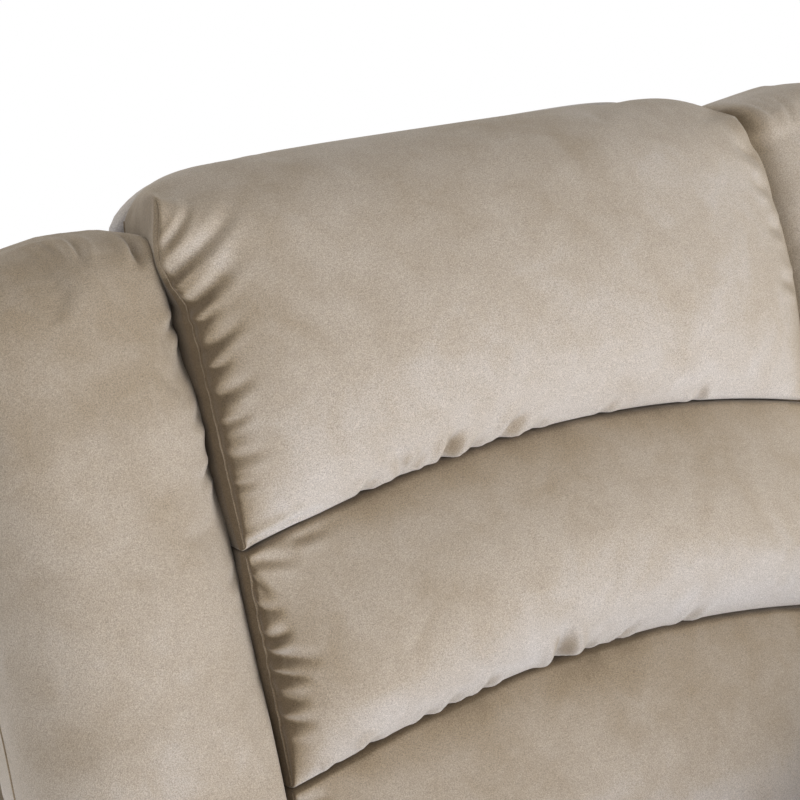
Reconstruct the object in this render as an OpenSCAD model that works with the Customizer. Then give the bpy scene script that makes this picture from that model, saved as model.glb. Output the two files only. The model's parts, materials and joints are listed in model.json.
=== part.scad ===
// Lift recliner chair with a three-tier pillow back, side wings and a powered base.
// The chair faces -Y, +X is to the right of someone who looks at its front, +Z is up.
// The origin lies on the floor under the middle of the chair. All sizes are in millimetres.

/* [Seat] */
// Clear width between the two arms
seat_w = 546; // [500:2:580]
// Height of the seat deck above the floor
deck_z = 350; // [348:1:370]
// Thickness of the seat cushion at its crown
cushion_t = 138; // [110:1:160]
// Length of the seat cushion from front to back
cushion_len = 522; // [480:2:530]
// How far the seat cushion's nose reaches past the arm fronts
nose_reach = 6; // [0:1:10]
// Free play between a cushion and what stands beside it
soft_gap = 3; // [1:0.5:5]

/* [Arms] */
// Width of one arm
arm_w = 176; // [150:2:210]
// Distance of the arm fronts from the origin
arm_front = 440; // [430:1:460]
// Length of the arm's box
arm_len = 780; // [740:2:790]
// Height of the arm box's top edge above the floor
arm_deck_z = 604; // [590:1:625]
// Thickness of the arm pad at its crown
arm_pad_t = 36; // [24:1:45]
// Length of the arm pad
arm_pad_len = 668; // [600:2:680]
// Gap between the floor and the underside of the arms
arm_clear = 55; // [45:1:70]
// Thickness of an upholstered arm panel
panel_t = 16; // [12:1:22]
// Thickness of the timber in the arm frames
arm_timber = 38; // [28:1:45]

/* [Pockets and handset] */
// Inside depth of a side pocket, from top to bottom
pocket_h = 112; // [100:1:130]
// Inside length of a side pocket
pocket_len = 190; // [150:2:220]
// Free space across a side pocket
pocket_room = 23; // [22:0.5:28]
// Wall of a side pocket
pocket_wall = 3; // [2:0.5:4]
// Width of the handset
handset_w = 48; // [44:1:56]
// Length of the handset
handset_l = 172; // [165:1:190]
// Thickness of the handset
handset_t = 18; // [16:0.5:20]
// Travel of a handset button
button_travel = 1.2; // [0.8:0.1:1.5]

/* [Back] */
// Lean of the backrest from upright, in degrees
lean = 14; // [12:0.5:16]
// Height of the lower pillow along the back
lower_h = 188; // [170:1:195]
// Height of the middle pillow along the back
middle_h = 177; // [165:1:190]
// Height of the head pillow along the back, at its sides
head_h = 235; // [220:1:250]
// Depth of the pillows at the lowest seam
depth_low = 160; // [140:1:165]
// Depth of the pillows at the seam under the middle pillow
depth_mid = 174; // [150:1:180]
// Depth of the pillows at the neck seam
depth_neck = 153; // [135:1:165]
// Depth of the head pillow at its top seam
depth_top = 101; // [85:1:115]
// Crown of the pillows past their seams
pillow_crown = 62; // [40:1:75]
// Rise of the cross seams in the middle of the back
seam_arch = 37; // [20:1:45]
// Rise of the head pillow's top in the middle of the back
top_arch = 30; // [10:1:40]
// How far the wings' front edges lie behind the pillow seams
wing_set_back = 2; // [0:1:20]
// Crown of a wing across its front
wing_crown = 16; // [8:1:24]
// Thickness of the timber in the back frame
back_timber = 20; // [16:1:22]
// Width of an upright in the back frame
post_w = 28; // [24:1:34]
// Thickness of the upholstered outside back
outside_t = 16; // [12:1:22]

/* [Legrest] */
// Height of the legrest board, from its top edge down
board_h = 277; // [250:1:290]
// Thickness of the legrest board
board_t = 13; // [10:1:15]
// Thickness of the legrest pad at its crown
foot_pad_t = 55; // [45:1:55]
// Width of a legrest link
leg_link_w = 22; // [18:1:23]
// Thickness of a legrest link
leg_link_t = 5; // [4:0.5:5]
// Outer diameter of the drive tube across the chair
drive_tube_d = 25; // [22:1:25]

/* [Lift mechanism] */
// Thickness of the steel side plates
plate_t = 5; // [4:0.5:6]
// Thickness of a lift link
lift_link_t = 6; // [5:0.5:7]
// Width of a lift link
lift_link_w = 32; // [28:1:34]
// Diameter of the lift links' pivot studs
lift_stud_d = 12; // [10:1:14]
// Diameter of the legrest rivets
rivet_d = 10; // [8:1:11]
// Side gap between neighbouring links
layer_gap = 2; // [1.5:0.1:2.2]
// Gap between the side plates and the arms
arm_gap = 13; // [10:1:16]
// Side of the square cross tubes
cross_tube = 30; // [25:1:30]
// Wall of every steel tube
tube_wall = 2; // [1.5:0.1:2.5]
// Diameter of an actuator's outer tube
outer_tube_d = 36; // [32:1:38]
// Diameter of an actuator's rod
rod_d = 20; // [16:1:22]
// Diameter of an actuator's clevis pin
clevis_pin_d = 12; // [10:1:12]
// Diameter of an actuator's motor
motor_d = 50; // [44:1:52]

/* [Base] */
// Height of the floor base's tubes
base_tube_h = 40; // [35:1:40]
// Width of the floor base's side tubes
base_tube_w = 25; // [20:1:28]
// Distance of the base's front end from the origin
base_front = 345; // [335:1:360]
// Distance of the base's rear end from the origin
base_rear = 440; // [420:1:450]
// Height of a floor glide
glide_h = 15; // [10:1:15]
// Diameter of a floor glide
glide_d = 36; // [30:1:44]

/* [Hidden] */
$fn = 48;

// Small clearances
run = 0.05;        // radial running clearance of a pivot
seat_on = 0.3;     // soft parts lie this far off what carries them
board_joint = 0.2; // glue line between two timbers
head_t = 1.2;      // thickness of a rivet head

// Pivot centres in the side view, as [y, z]. The links' lengths have to agree with each other,
// so these points are set together and not one by one.
LIFT_A1 = [-310, 95];       // front lift link on the base
LIFT_B1 = [90, 105];        // front lift link on the side plate
LIFT_A2 = [-271.2, 95];     // rear lift link on the base
LIFT_B2 = [260, 105];       // rear lift link on the side plate
LIFT_M = [-300, 85];        // lift actuator on the base
LIFT_N = [-15, 295];        // lift actuator on the carriage
LEG_C1 = [-211.8, 285.1];   // drive tube
LEG_C2 = [-266.8, 318.6];   // front leg link on the side plate
LEG_D1 = [-101.3, 134.4];   // rear leg link to outer leg link
LEG_D2 = [-136.6, 132.1];   // front leg link to inner leg link
LEG_P = [-372, 352];        // top rear edge of the legrest board
LEG_E1 = LEG_P + [14.1, -89.1];   // outer leg link on the legrest bracket
LEG_E2 = LEG_P + [29.6, -130.6];  // inner leg link on the legrest bracket
LEG_CROSS = 0.836;          // where the outer link crosses the front link, along the front link
BACK_PIVOT = [235, 400];    // backrest on the side plate
RECLINE_M = [-25, 259];     // recline actuator on the carriage
lever_angle = 19;           // the back levers hang this far behind upright
drive_lever_r = 62;         // back pivot to the drive link's pin
crank_r = 23.8;             // drive tube to the drive link's pin
crank_angle = -32;          // direction of the crank from the drive tube
recline_lever_r = 90;       // back pivot to the recline actuator's pin
DRIVE_KNEE = [24, -14];     // the drive link's bend under the drive tube, from its crank pin
DRIVE_K = LEG_C1 + crank_r * [cos(crank_angle), sin(crank_angle)];
DRIVE_L = BACK_PIVOT + drive_lever_r * [sin(lever_angle), -cos(lever_angle)];
RECLINE_N = BACK_PIVOT + recline_lever_r * [sin(lever_angle), -cos(lever_angle)];
// Play of the pivots that close a loop: the couplings are exact at both ends of the travel
play_lift_rear = 0.8;
play_lift_rod = 4.2;
play_leg_cross = 2.2;
play_leg_inner = 2.2;
play_drive = 8.8;
play_recline = 6.2;

// Layers across the chair, from the side plate inwards. Each is the inner face of its layer.
half_seat = seat_w / 2;
plate_x = half_seat - arm_gap - plate_t;
lift_front_x = plate_x - layer_gap - lift_link_t;
bracket_x = lift_front_x - layer_gap - plate_t;
lift_rear_x = bracket_x - layer_gap - lift_link_t;
leg_inner_x = lift_rear_x - layer_gap - leg_link_t;
leg_front_x = leg_inner_x - layer_gap - leg_link_t;
leg_outer_x = leg_front_x - layer_gap - leg_link_t;
leg_rear_x = leg_outer_x - layer_gap - leg_link_t;
crank_x = leg_rear_x - layer_gap - leg_link_t;
drive_link_x = crank_x - layer_gap - leg_link_t;
drive_lever_x = drive_link_x - layer_gap - leg_link_t;
recline_x = 110;            // centre plane of the recline actuator

// Arms
arm_in = half_seat;
arm_out = half_seat + arm_w;
arm_rear = arm_len - arm_front;
arm_front_in = -arm_front + panel_t;
arm_rear_in = arm_rear - panel_t;
arm_pad_front = -arm_front - nose_reach;

// Seat
timber_t = 22;              // height of the seat frame's timbers
seat_rail_rear = 108;
seat_front_rail_y = -345;
seat_rear_rail_y = 78;
rail_y = 30;                // width of the seat frame's cross rails
web_t = 2;                  // thickness of the webbing in the seat and the back
cushion_z = deck_z + web_t + seat_on;
cushion_front = -arm_front - nose_reach;

// Carriage tubes
mid_tube = [5, 200];        // front lower corner in the side view
rear_tube = [150, 236];

// Backrest: its own axes start at back_ref, with u up along the back and v forward from it
back_ref = BACK_PIVOT - [10, 15];
pivot_u = 10 * sin(lean) + 15 * cos(lean);
pivot_v = -10 * cos(lean) + 15 * sin(lean);
frame_front = 8;            // v of the back frame's front face
frame_rear = frame_front - back_timber;
pillow_back = frame_front + web_t + seat_on;
pillow_w = seat_w - 2 * soft_gap;
top_crown = 12;             // crown of the head pillow's top, from front to back
wing_board_t = 10;          // ply behind each wing
seam_low = 53.5;            // u of the lowest seam at the sides
seam_mid = seam_low + lower_h;
seam_neck = seam_mid + middle_h;
seam_top = seam_neck + head_h;
post_out = plate_x - layer_gap - plate_t;
arm_reach = norm([arm_rear, arm_deck_z] - BACK_PIVOT);
wing_clear = 3;
// The wings' level underside clears the arm pads, and the arms' rear corners as the back reclines
wing_floor = BACK_PIVOT.y
    + max(arm_reach, arm_deck_z + arm_pad_t - BACK_PIVOT.y) + wing_clear;
wing_low = (wing_floor - back_ref.y - (frame_rear - outside_t) * sin(lean)) / cos(lean);
wing_in = half_seat + soft_gap;
frame_top = seam_top - 20;
SEAMS = [[0, depth_low], [seam_low, depth_low], [seam_mid, depth_mid],
         [seam_neck, depth_neck], [seam_top, depth_top]];

// Handset and pockets
pocket_y = -190;            // rear end of the pockets' free space
pocket_top = arm_deck_z - 70;
pocket_x = arm_out;
handset_floor = pocket_top - pocket_h;
handset_y = pocket_y - pocket_len + 30;
handset_x = -(pocket_x + seat_on + 2);
button_d = 13;
button_proud = 2.4;

// ---------------------------------------------------------------- helpers

// Both sides of the chair, from the right-hand one
module both_sides() {
    children();
    mirror([1, 0, 0]) children();
}

// A plate parallel to the side view: its outline is drawn in [y, z]
module side_plate(x, t) {
    translate([x, 0, 0]) rotate([90, 0, 90]) linear_extrude(t) children();
}

// A bar from p to q with round ends, a little narrower between them
module bar(p, q, w, neck = 2) {
    dir = q - p;
    translate(p) circle(d = w);
    translate(q) circle(d = w);
    translate(p) rotate(atan2(dir.y, dir.x)) translate([0, (neck - w) / 2])
        square([norm(dir), w - neck]);
}

// A slot with round ends, square to the direction from p to q and centred on q
module cross_slot(p, q, d, play) {
    dir = q - p;
    translate(q) rotate(atan2(dir.y, dir.x)) {
        square([d, 2 * play], center = true);
        for (s = [-1, 1]) translate([0, s * play]) circle(d = d);
    }
}

// A round pin across the chair, from x0 to x1, at c in the side view
module pin(x0, x1, c, d) {
    translate([x0, c.x, c.y]) rotate([0, 90, 0]) cylinder(d = d, h = x1 - x0);
}

// A hollow square tube across the chair between x0 and x1, with its lower front corner at c
module cross_box(x0, x1, c, w, h) {
    difference() {
        translate([x0, c.x, c.y]) cube([x1 - x0, w, h]);
        translate([x0 - 1, c.x + tube_wall, c.y + tube_wall])
            cube([x1 - x0 + 2, w - 2 * tube_wall, h - 2 * tube_wall]);
    }
}

// Puts a solid drawn in the back's axes [x, -v, u] where the backrest stands
module on_back() {
    translate([0, back_ref.x, back_ref.y]) rotate([-lean, 0, 0]) children();
}

// A timber of the back frame, from u0 to u1 and x0 to x1
module back_board(x0, x1, u0, u1) {
    on_back() translate([x0, -frame_front, u0]) cube([x1 - x0, back_timber, u1 - u0]);
}

// A point of the back's axes in the side view
function on_back_point(u, v) =
    back_ref + [u * sin(lean) - v * cos(lean), u * cos(lean) + v * sin(lean)];

// Points on an arc of an ellipse
function arc(c, rx, ry, a0, a1, n) =
    [for (i = [0 : n]) let (a = a0 + (a1 - a0) * i / n) c + [rx * cos(a), ry * sin(a)]];

// Stations from -w to w, closer together near the ends
function stations(w, n) = [for (i = [0 : n]) -w * cos(180 * i / n)];

// How full a cushion is at distance x from its middle: 1 in the middle, 0 at its sides
function fullness(x, w, power = 3) = pow(max(0, 1 - pow(abs(x) / w, power)), 0.5);

function mean(points) = [for (k = [0 : 2]) let (n = len(points))
    [for (p = points) p[k]] * [for (p = points) 1 / n]];

// A closed soft form through rings of equally many points. The end faces are drawn in.
module soft_form(rings, axis = [1, 0, 0], drawn_in = 5) {
    m = len(rings[0]);
    k = len(rings);
    points = concat([for (r = rings) each r],
        [mean(rings[0]) + drawn_in * axis, mean(rings[k - 1]) - drawn_in * axis]);
    sides = [for (i = [0 : k - 2], j = [0 : m - 1])
        let (a = i * m + j, b = i * m + (j + 1) % m, c = a + m, d = b + m)
        each [[a, b, d], [a, d, c]]];
    ends = [for (j = [0 : m - 1]) let (b = (j + 1) % m)
        each [[k * m, b, j], [k * m + 1, (k - 1) * m + j, (k - 1) * m + b]]];
    polyhedron(points, concat(sides, ends), convexity = 6);
}

// ---------------------------------------------------------------- floor base

module base_side_rails() color("#2b2b2d") both_sides() {
    x0 = bracket_x + plate_t / 2 - base_tube_w / 2;
    difference() {
        translate([x0, -base_front, glide_h])
            cube([base_tube_w, base_front + base_rear, base_tube_h]);
        translate([x0 + tube_wall, -base_front - 1, glide_h + tube_wall])
            cube([base_tube_w - 2 * tube_wall, base_front + base_rear + 2,
                base_tube_h - 2 * tube_wall]);
    }
}

module base_cross_tubes() color("#2b2b2d") {
    x1 = bracket_x + plate_t / 2 - base_tube_w / 2;
    for (y = [-base_front + 15, base_rear - base_tube_h])
        cross_box(-x1, x1, [y, glide_h], base_tube_h, base_tube_h);
}

module floor_glides() color("#161616") both_sides()
    for (y = [-base_front + glide_d / 2 + 5, base_rear - glide_d / 2 - 5])
        translate([bracket_x + plate_t / 2, y, 0]) cylinder(d = glide_d, h = glide_h);

module base_brackets() color("#2b2b2d") {
    foot_z = glide_h + base_tube_h;
    both_sides() side_plate(bracket_x, plate_t) difference() {
        union() {
            bar(LIFT_A1, LIFT_A2, lift_link_w + 4);
            translate([LIFT_A1.x - 17, foot_z])
                square([LIFT_A2.x - LIFT_A1.x + 34, LIFT_A1.y - foot_z]);
        }
        for (c = [LIFT_A1, LIFT_A2]) translate(c) circle(d = lift_stud_d);
    }
    both_sides() side_plate(14.5, plate_t) difference() {
        union() {
            translate(LIFT_M) circle(d = 32);
            translate([LIFT_M.x - 16, foot_z]) square([32, LIFT_M.y - foot_z]);
        }
        translate(LIFT_M) circle(d = clevis_pin_d);
    }
}

module base_pivot_studs() color("#b9bcc0") {
    both_sides() {
        pin(bracket_x, lift_front_x + lift_link_t + 0.3, LIFT_A1, lift_stud_d);
        pin(lift_front_x + lift_link_t + 0.3, lift_front_x + lift_link_t + 0.3 + head_t,
            LIFT_A1, lift_stud_d + 8);
        pin(lift_rear_x - 0.3, bracket_x + plate_t, LIFT_A2, lift_stud_d);
        pin(lift_rear_x - 0.3 - head_t, lift_rear_x - 0.3, LIFT_A2, lift_stud_d + 8);
    }
    pin(-14.5 - plate_t - 3, 14.5 + plate_t + 3, LIFT_M, clevis_pin_d);
}

module power_supply() color("#1d1d1f") {
    w = 120;
    h = 52;
    d = 66;
    rear = base_rear;
    difference() {
        translate([-w / 2, rear - d, glide_h + base_tube_h]) cube([w, d, h]);
        translate([-12, rear - 12, glide_h + base_tube_h + 18]) cube([24, 13, 14]);
    }
}

// ---------------------------------------------------------------- lift links

module front_lift_links() color("#3a3a3d") both_sides()
    side_plate(lift_front_x, lift_link_t) difference() {
        bar(LIFT_A1, LIFT_B1, lift_link_w);
        for (c = [LIFT_A1, LIFT_B1]) translate(c) circle(d = lift_stud_d + 2 * run);
    }

module rear_lift_links() color("#3a3a3d") both_sides()
    side_plate(lift_rear_x, lift_link_t) difference() {
        bar(LIFT_A2, LIFT_B2, lift_link_w);
        translate(LIFT_A2) circle(d = lift_stud_d + 2 * run);
        translate(LIFT_B2) circle(d = lift_stud_d + 2 * play_lift_rear);
    }

// ---------------------------------------------------------------- actuators

// Axes of an actuator: +Y runs from its mount pin at p towards its rod pin at q
module along(x, p, q) {
    dir = q - p;
    translate([x, p.x, p.y]) rotate([atan2(dir.y, dir.x), 0, 0]) children();
}

housing_start = 20;
housing_len = 48;
motor_offset = 56;

module gear_housing(x, p, q) along(x, p, q) difference() {
    union() {
        translate([-12, 0, -13]) cube([24, housing_start, 26]);
        translate([-12, 0, 0]) rotate([0, 90, 0]) cylinder(d = 26, h = 24);
        translate([-motor_offset - motor_d / 2 - 3, housing_start, -28])
            cube([motor_offset + motor_d / 2 + 31, housing_len, 56]);
    }
    translate([-13, 0, 0]) rotate([0, 90, 0]) cylinder(d = clevis_pin_d + 2 * run, h = 26);
}

module motor_can(x, p, q, length) along(x, p, q)
    translate([-motor_offset, housing_start + housing_len, 0])
        rotate([-90, 0, 0]) {
            cylinder(d = motor_d, h = length - 14);
            translate([0, 0, length - 14]) cylinder(d = motor_d - 12, h = 14);
        }

module outer_tube(x, p, q, end) along(x, p, q)
    translate([0, housing_start + housing_len, 0]) rotate([-90, 0, 0]) difference() {
        cylinder(d = outer_tube_d, h = end - housing_start - housing_len);
        translate([0, 0, -1])
            cylinder(d = rod_d + 2 * run, h = end - housing_start - housing_len + 2);
    }

// The rod ends in a flat eye, whose slot takes up what the linkage is out of true in mid-travel
module rod_with_eye(x, p, q, start, play, eye_t) {
    length = norm(q - p);
    eye_d = clevis_pin_d + 14;
    dir = q - p;
    along(x, p, q) translate([0, start, 0]) rotate([-90, 0, 0])
        cylinder(d = rod_d, h = length - eye_d / 2 - start);
    side_plate(x - eye_t / 2, eye_t) difference() {
        union() {
            cross_slot(p, q, eye_d, play);
            translate(p) rotate(atan2(dir.y, dir.x))
                translate([length - eye_d / 2 - 4, -rod_d / 2]) square([8, rod_d]);
        }
        cross_slot(p, q, clevis_pin_d + 2.8, play);
    }
}

eye_half = 14;              // half the width of a rod's eye, and of the room between two lugs
lift_motor_len = 118;
recline_motor_len = 100;
lift_tube_end = 308;
lift_rod_start = 74;
recline_tube_end = 205;
recline_rod_start = 132;

module lift_gear_housing() color("#242426") gear_housing(0, LIFT_M, LIFT_N);
module lift_motor() color("#303033") motor_can(0, LIFT_M, LIFT_N, lift_motor_len);
module lift_outer_tube() color("#8d9094") outer_tube(0, LIFT_M, LIFT_N, lift_tube_end);
module lift_rod() color("#c9ccd0")
    rod_with_eye(0, LIFT_M, LIFT_N, lift_rod_start, play_lift_rod, eye_half);

module recline_gear_housing() color("#242426") gear_housing(recline_x, RECLINE_M, RECLINE_N);
module recline_motor() color("#303033")
    motor_can(recline_x, RECLINE_M, RECLINE_N, recline_motor_len);
module recline_outer_tube() color("#8d9094")
    outer_tube(recline_x, RECLINE_M, RECLINE_N, recline_tube_end);
module recline_rod() color("#c9ccd0")
    rod_with_eye(recline_x, RECLINE_M, RECLINE_N, recline_rod_start, play_recline, eye_half);

// ---------------------------------------------------------------- carriage

// A side plate's outline, in the side view: two wings under the deck, a foot at the middle tube,
// an ear round each lift pivot and one that rises to the back's pivot
plate_top = deck_z - 6;
plate_front = [-300, 258];  // lower front corner of the front wing
plate_front_len = 330;
plate_rear = [-10, 232];    // lower front corner of the rear wing
plate_rear_len = 310;
plate_foot = [120, 60];
plate_ear_w = lift_link_w + 8;
plate_ear_h = 140;
back_ear_w = 40;
back_ear_z = 300;

module mechanism_side_plates() color("#2f2f32") both_sides()
    side_plate(plate_x, plate_t) difference() {
        union() {
            translate(plate_front) square([plate_front_len, plate_top - plate_front.y]);
            translate(plate_rear) square([plate_rear_len, plate_top - plate_rear.y]);
            translate([mid_tube.x - 15, mid_tube.y - 6]) square(plate_foot);
            for (c = [LIFT_B1, LIFT_B2]) {
                translate(c) circle(d = plate_ear_w);
                translate([c.x - plate_ear_w / 2, c.y]) square([plate_ear_w, plate_ear_h]);
            }
            translate(BACK_PIVOT) circle(d = back_ear_w);
            translate([BACK_PIVOT.x - back_ear_w / 2, back_ear_z])
                square([back_ear_w, BACK_PIVOT.y - back_ear_z]);
        }
        for (c = [LIFT_B1, LIFT_B2, BACK_PIVOT]) translate(c) circle(d = lift_stud_d);
        translate(LEG_C2) circle(d = rivet_d);
        translate(LEG_C1) circle(d = drive_tube_d + 2 * run);
    }

module carriage_pivot_studs() color("#b9bcc0") {
    outer = plate_x + plate_t;
    both_sides() {
        pin(lift_front_x - 0.3, outer, LIFT_B1, lift_stud_d);
        pin(lift_rear_x - 0.3, outer, LIFT_B2, lift_stud_d);
        pin(post_out + 0.3, outer, BACK_PIVOT, lift_stud_d);
        pin(leg_front_x - 0.3, outer, LEG_C2, rivet_d);
        for (c = [LIFT_B1, LIFT_B2, BACK_PIVOT, LEG_C2])
            pin(outer, outer + 3, c, lift_stud_d + 8);
    }
    reach = eye_half + plate_t + 3;
    pin(-reach, reach, LIFT_N, clevis_pin_d);
    pin(recline_x - reach, recline_x + reach, RECLINE_M, clevis_pin_d);
}

module carriage_cross_tubes() color("#2f2f32")
    for (c = [mid_tube, rear_tube]) cross_box(-plate_x, plate_x, c, cross_tube, cross_tube);

module actuator_lugs() color("#2f2f32") {
    for (s = [-1, 1]) {
        side_plate(s * (eye_half + plate_t / 2) - plate_t / 2, plate_t) difference() {
            union() {
                translate(LIFT_N) circle(d = 28);
                translate([LIFT_N.x - 14, mid_tube.y + 3])
                    square([mid_tube.x - LIFT_N.x + 14, LIFT_N.y - mid_tube.y - 3]);
            }
            translate(LIFT_N) circle(d = clevis_pin_d);
        }
        side_plate(recline_x + s * (eye_half + plate_t / 2) - plate_t / 2, plate_t) difference() {
            union() {
                translate(RECLINE_M) circle(d = 28);
                translate([RECLINE_M.x - 14, mid_tube.y + 1])
                    square([28, RECLINE_M.y - mid_tube.y - 1]);
                translate([RECLINE_M.x - 14, mid_tube.y + 1])
                    square([mid_tube.x - RECLINE_M.x + 14, cross_tube - 2]);
            }
            translate(RECLINE_M) circle(d = clevis_pin_d);
        }
    }
}

module seat_frame() color("#c8a878") {
    rail_x = lift_rear_x;
    both_sides() translate([rail_x, seat_front_rail_y, deck_z - timber_t])
        cube([plate_x - rail_x, seat_rail_rear - seat_front_rail_y, timber_t]);
    for (y = [seat_front_rail_y, seat_rear_rail_y])
        translate([-rail_x + board_joint, y, deck_z - timber_t])
            cube([2 * (rail_x - board_joint), rail_y, timber_t]);
}

module seat_webbing() color("#4a4238") {
    straps = 5;
    pitch = 2 * lift_rear_x / straps;
    for (i = [0 : straps - 1])
        translate([-lift_rear_x + (i + 0.5) * pitch - 30, seat_front_rail_y, deck_z])
            cube([60, seat_rail_rear - seat_front_rail_y, web_t]);
}

// Section of the seat cushion at x, as [y, z]: flat underneath, a full nose, crowned on top
function seat_section(x, w) =
    let (e = fullness(x, w), z0 = cushion_z, top = z0 + cushion_t - 26 * (1 - e),
         front = cushion_front + 10 * (1 - e), rear = cushion_front + cushion_len,
         nose_r = 62, nose_h = (top - z0) * 0.5)
    concat(
        [[rear, z0], [front + 92, z0]],
        [[front + 64, z0 + 10], [front + 26, z0 + 14 + 6 * (1 - e)]],
        arc([front + nose_r, top - nose_h], nose_r, nose_h, 195, 90, 7),
        [[front + 0.45 * cushion_len, top + 3 * e], [front + 0.7 * cushion_len, top - 2]],
        arc([rear - 40, top - 44], 40, 38, 80, 0, 4));

module seat_cushion() color("#bcae9c") {
    w = half_seat - 2;
    soft_form([for (x = stations(w, 16)) [for (p = seat_section(x, w)) [x, p.x, p.y]]]);
}

spacer_z = 300;
spacer_d = 24;

module arm_mount_spacers() color("#8d9094") both_sides()
    for (y = [-180, 60, 200]) pin(plate_x + plate_t, arm_in, [y, spacer_z], spacer_d);

module arm_frames() color("#c8a878") both_sides() {
    x0 = arm_in + panel_t;
    x1 = arm_out - panel_t;
    z0 = arm_clear;
    z1 = arm_deck_z;
    t = arm_timber;
    for (y = [arm_front_in, arm_rear_in - t])
        translate([x0, y, z0 + t + board_joint])
            cube([x1 - x0, t, z1 - z0 - 2 * t - 2 * board_joint]);
    for (z = [z0, z1 - t])
        translate([x0, arm_front_in, z]) cube([x1 - x0, arm_rear_in - arm_front_in, t]);
}

module arm_panel(x) translate([x, arm_front_in, arm_clear])
    cube([panel_t, arm_rear_in - arm_front_in, arm_deck_z - arm_clear]);

module arm_inner_panels() color("#b3a593") both_sides() arm_panel(arm_in);
module arm_outer_panels() color("#b3a593") both_sides() arm_panel(arm_out - panel_t);
module arm_front_panels() color("#bcae9c") both_sides()
    translate([arm_in, -arm_front, arm_clear]) cube([arm_w, panel_t, arm_deck_z - arm_clear]);
module arm_rear_panels() color("#b3a593") both_sides()
    translate([arm_in, arm_rear_in, arm_clear]) cube([arm_w, panel_t, arm_deck_z - arm_clear]);

// Section of an arm pad at y, as [x, z] from the pad's middle
function arm_pad_section(y, len) =
    let (e = fullness(y, len / 2, 6), w = arm_w / 2 - 1, top = 8 + (arm_pad_t - 8) * e,
         r = 22, z0 = arm_deck_z + seat_on)
    concat([[w - 3, z0]], arc([w - r, z0 + top * 0.42], r, top * 0.5, 0, 90, 4),
        [[w * 0.3, z0 + top], [-w * 0.3, z0 + top]],
        arc([-w + r, z0 + top * 0.42], r, top * 0.5, 90, 180, 4), [[-w + 3, z0]]);

module arm_pad() color("#c0b3a2") {
    x = half_seat + arm_w / 2;
    y = arm_pad_front + arm_pad_len / 2;
    soft_form([for (s = stations(arm_pad_len / 2, 16))
        [for (p = arm_pad_section(s, arm_pad_len)) [x + p.x, y + s, p.y]]], [0, 1, 0], 2);
}

module arm_pad_right() arm_pad();
module arm_pad_left() mirror([1, 0, 0]) arm_pad();

module side_pocket() color("#a99b89") {
    out = pocket_room + pocket_wall;
    translate([pocket_x, pocket_y - pocket_len - pocket_wall, handset_floor - pocket_wall])
        difference() {
            cube([out, pocket_len + 2 * pocket_wall, pocket_h + pocket_wall]);
            translate([-1, pocket_wall, pocket_wall])
                cube([pocket_room + 1, pocket_len, pocket_h + 1]);
        }
}

module side_pocket_right() side_pocket();
module side_pocket_left() mirror([1, 0, 0]) side_pocket();

module control_box() color("#242426")
    translate([-170, rear_tube.x - 62, rear_tube.y - 4]) difference() {
        cube([104, 62, 38]);
        for (i = [0 : 3]) translate([12 + 21 * i, -1, 12]) cube([15, 9, 12]);
    }

// ---------------------------------------------------------------- legrest

module drive_tube() color("#3a3a3d") {
    difference() {
        pin(-plate_x - plate_t - 2, plate_x + plate_t + 2, LEG_C1, drive_tube_d);
        pin(-plate_x - plate_t - 3, plate_x + plate_t + 3, LEG_C1,
            drive_tube_d - 2 * tube_wall);
    }
    both_sides() {
        side_plate(crank_x, leg_link_t) difference() {
            union() {
                bar(LEG_C1, DRIVE_K, 20);
                translate(LEG_C1) circle(d = drive_tube_d + 12);
            }
            translate(LEG_C1) circle(d = drive_tube_d);
        }
        pin(drive_link_x - 0.3, crank_x, DRIVE_K, rivet_d);
    }
}

module rear_leg_links() color("#3a3a3d") both_sides() {
    side_plate(leg_rear_x, leg_link_t) difference() {
        union() {
            bar(LEG_C1, LEG_D1, leg_link_w);
            translate(LEG_C1) circle(d = drive_tube_d + 12);
        }
        translate(LEG_C1) circle(d = drive_tube_d);
    }
    pin(leg_rear_x + leg_link_t, leg_outer_x + leg_link_t + 0.3, LEG_D1, rivet_d);
}

module outer_leg_links() color("#3a3a3d") both_sides()
    side_plate(leg_outer_x, leg_link_t) difference() {
        bar(LEG_D1, LEG_E1, leg_link_w);
        for (c = [LEG_D1, LEG_E1]) translate(c) circle(d = rivet_d + 2 * run);
        translate(LEG_C2 + LEG_CROSS * (LEG_D2 - LEG_C2)) circle(d = rivet_d - 2 + 2 * play_leg_cross);
    }

module front_leg_links() color("#3a3a3d") both_sides() {
    cross = LEG_C2 + LEG_CROSS * (LEG_D2 - LEG_C2);
    side_plate(leg_front_x, leg_link_t) difference() {
        bar(LEG_C2, LEG_D2, leg_link_w);
        translate(LEG_C2) circle(d = rivet_d + 2 * run);
    }
    pin(leg_front_x + leg_link_t, leg_inner_x + leg_link_t + 0.3, LEG_D2, rivet_d);
    pin(leg_outer_x - 0.3, leg_front_x, cross, rivet_d - 2);
}

module inner_leg_links() color("#3a3a3d") both_sides()
    side_plate(leg_inner_x, leg_link_t) difference() {
        bar(LEG_D2, LEG_E2, leg_link_w);
        translate(LEG_D2) circle(d = rivet_d + 2 * run);
        translate(LEG_E2) circle(d = rivet_d - 2 + 2 * play_leg_inner);
    }

module legrest_brackets() color("#3a3a3d") both_sides() {
    side_plate(leg_front_x, leg_link_t) union() {
        translate([LEG_P.x, LEG_E2.y - 12]) square([8, LEG_P.y - LEG_E2.y - 20]);
        bar([LEG_P.x + 8, LEG_E1.y], LEG_E1, 16);
        bar([LEG_P.x + 8, LEG_E2.y], LEG_E2, 16);
    }
    pin(leg_outer_x - 0.3, leg_front_x, LEG_E1, rivet_d);
    pin(leg_front_x + leg_link_t, leg_inner_x + leg_link_t + 0.3, LEG_E2, rivet_d - 2);
}

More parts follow.
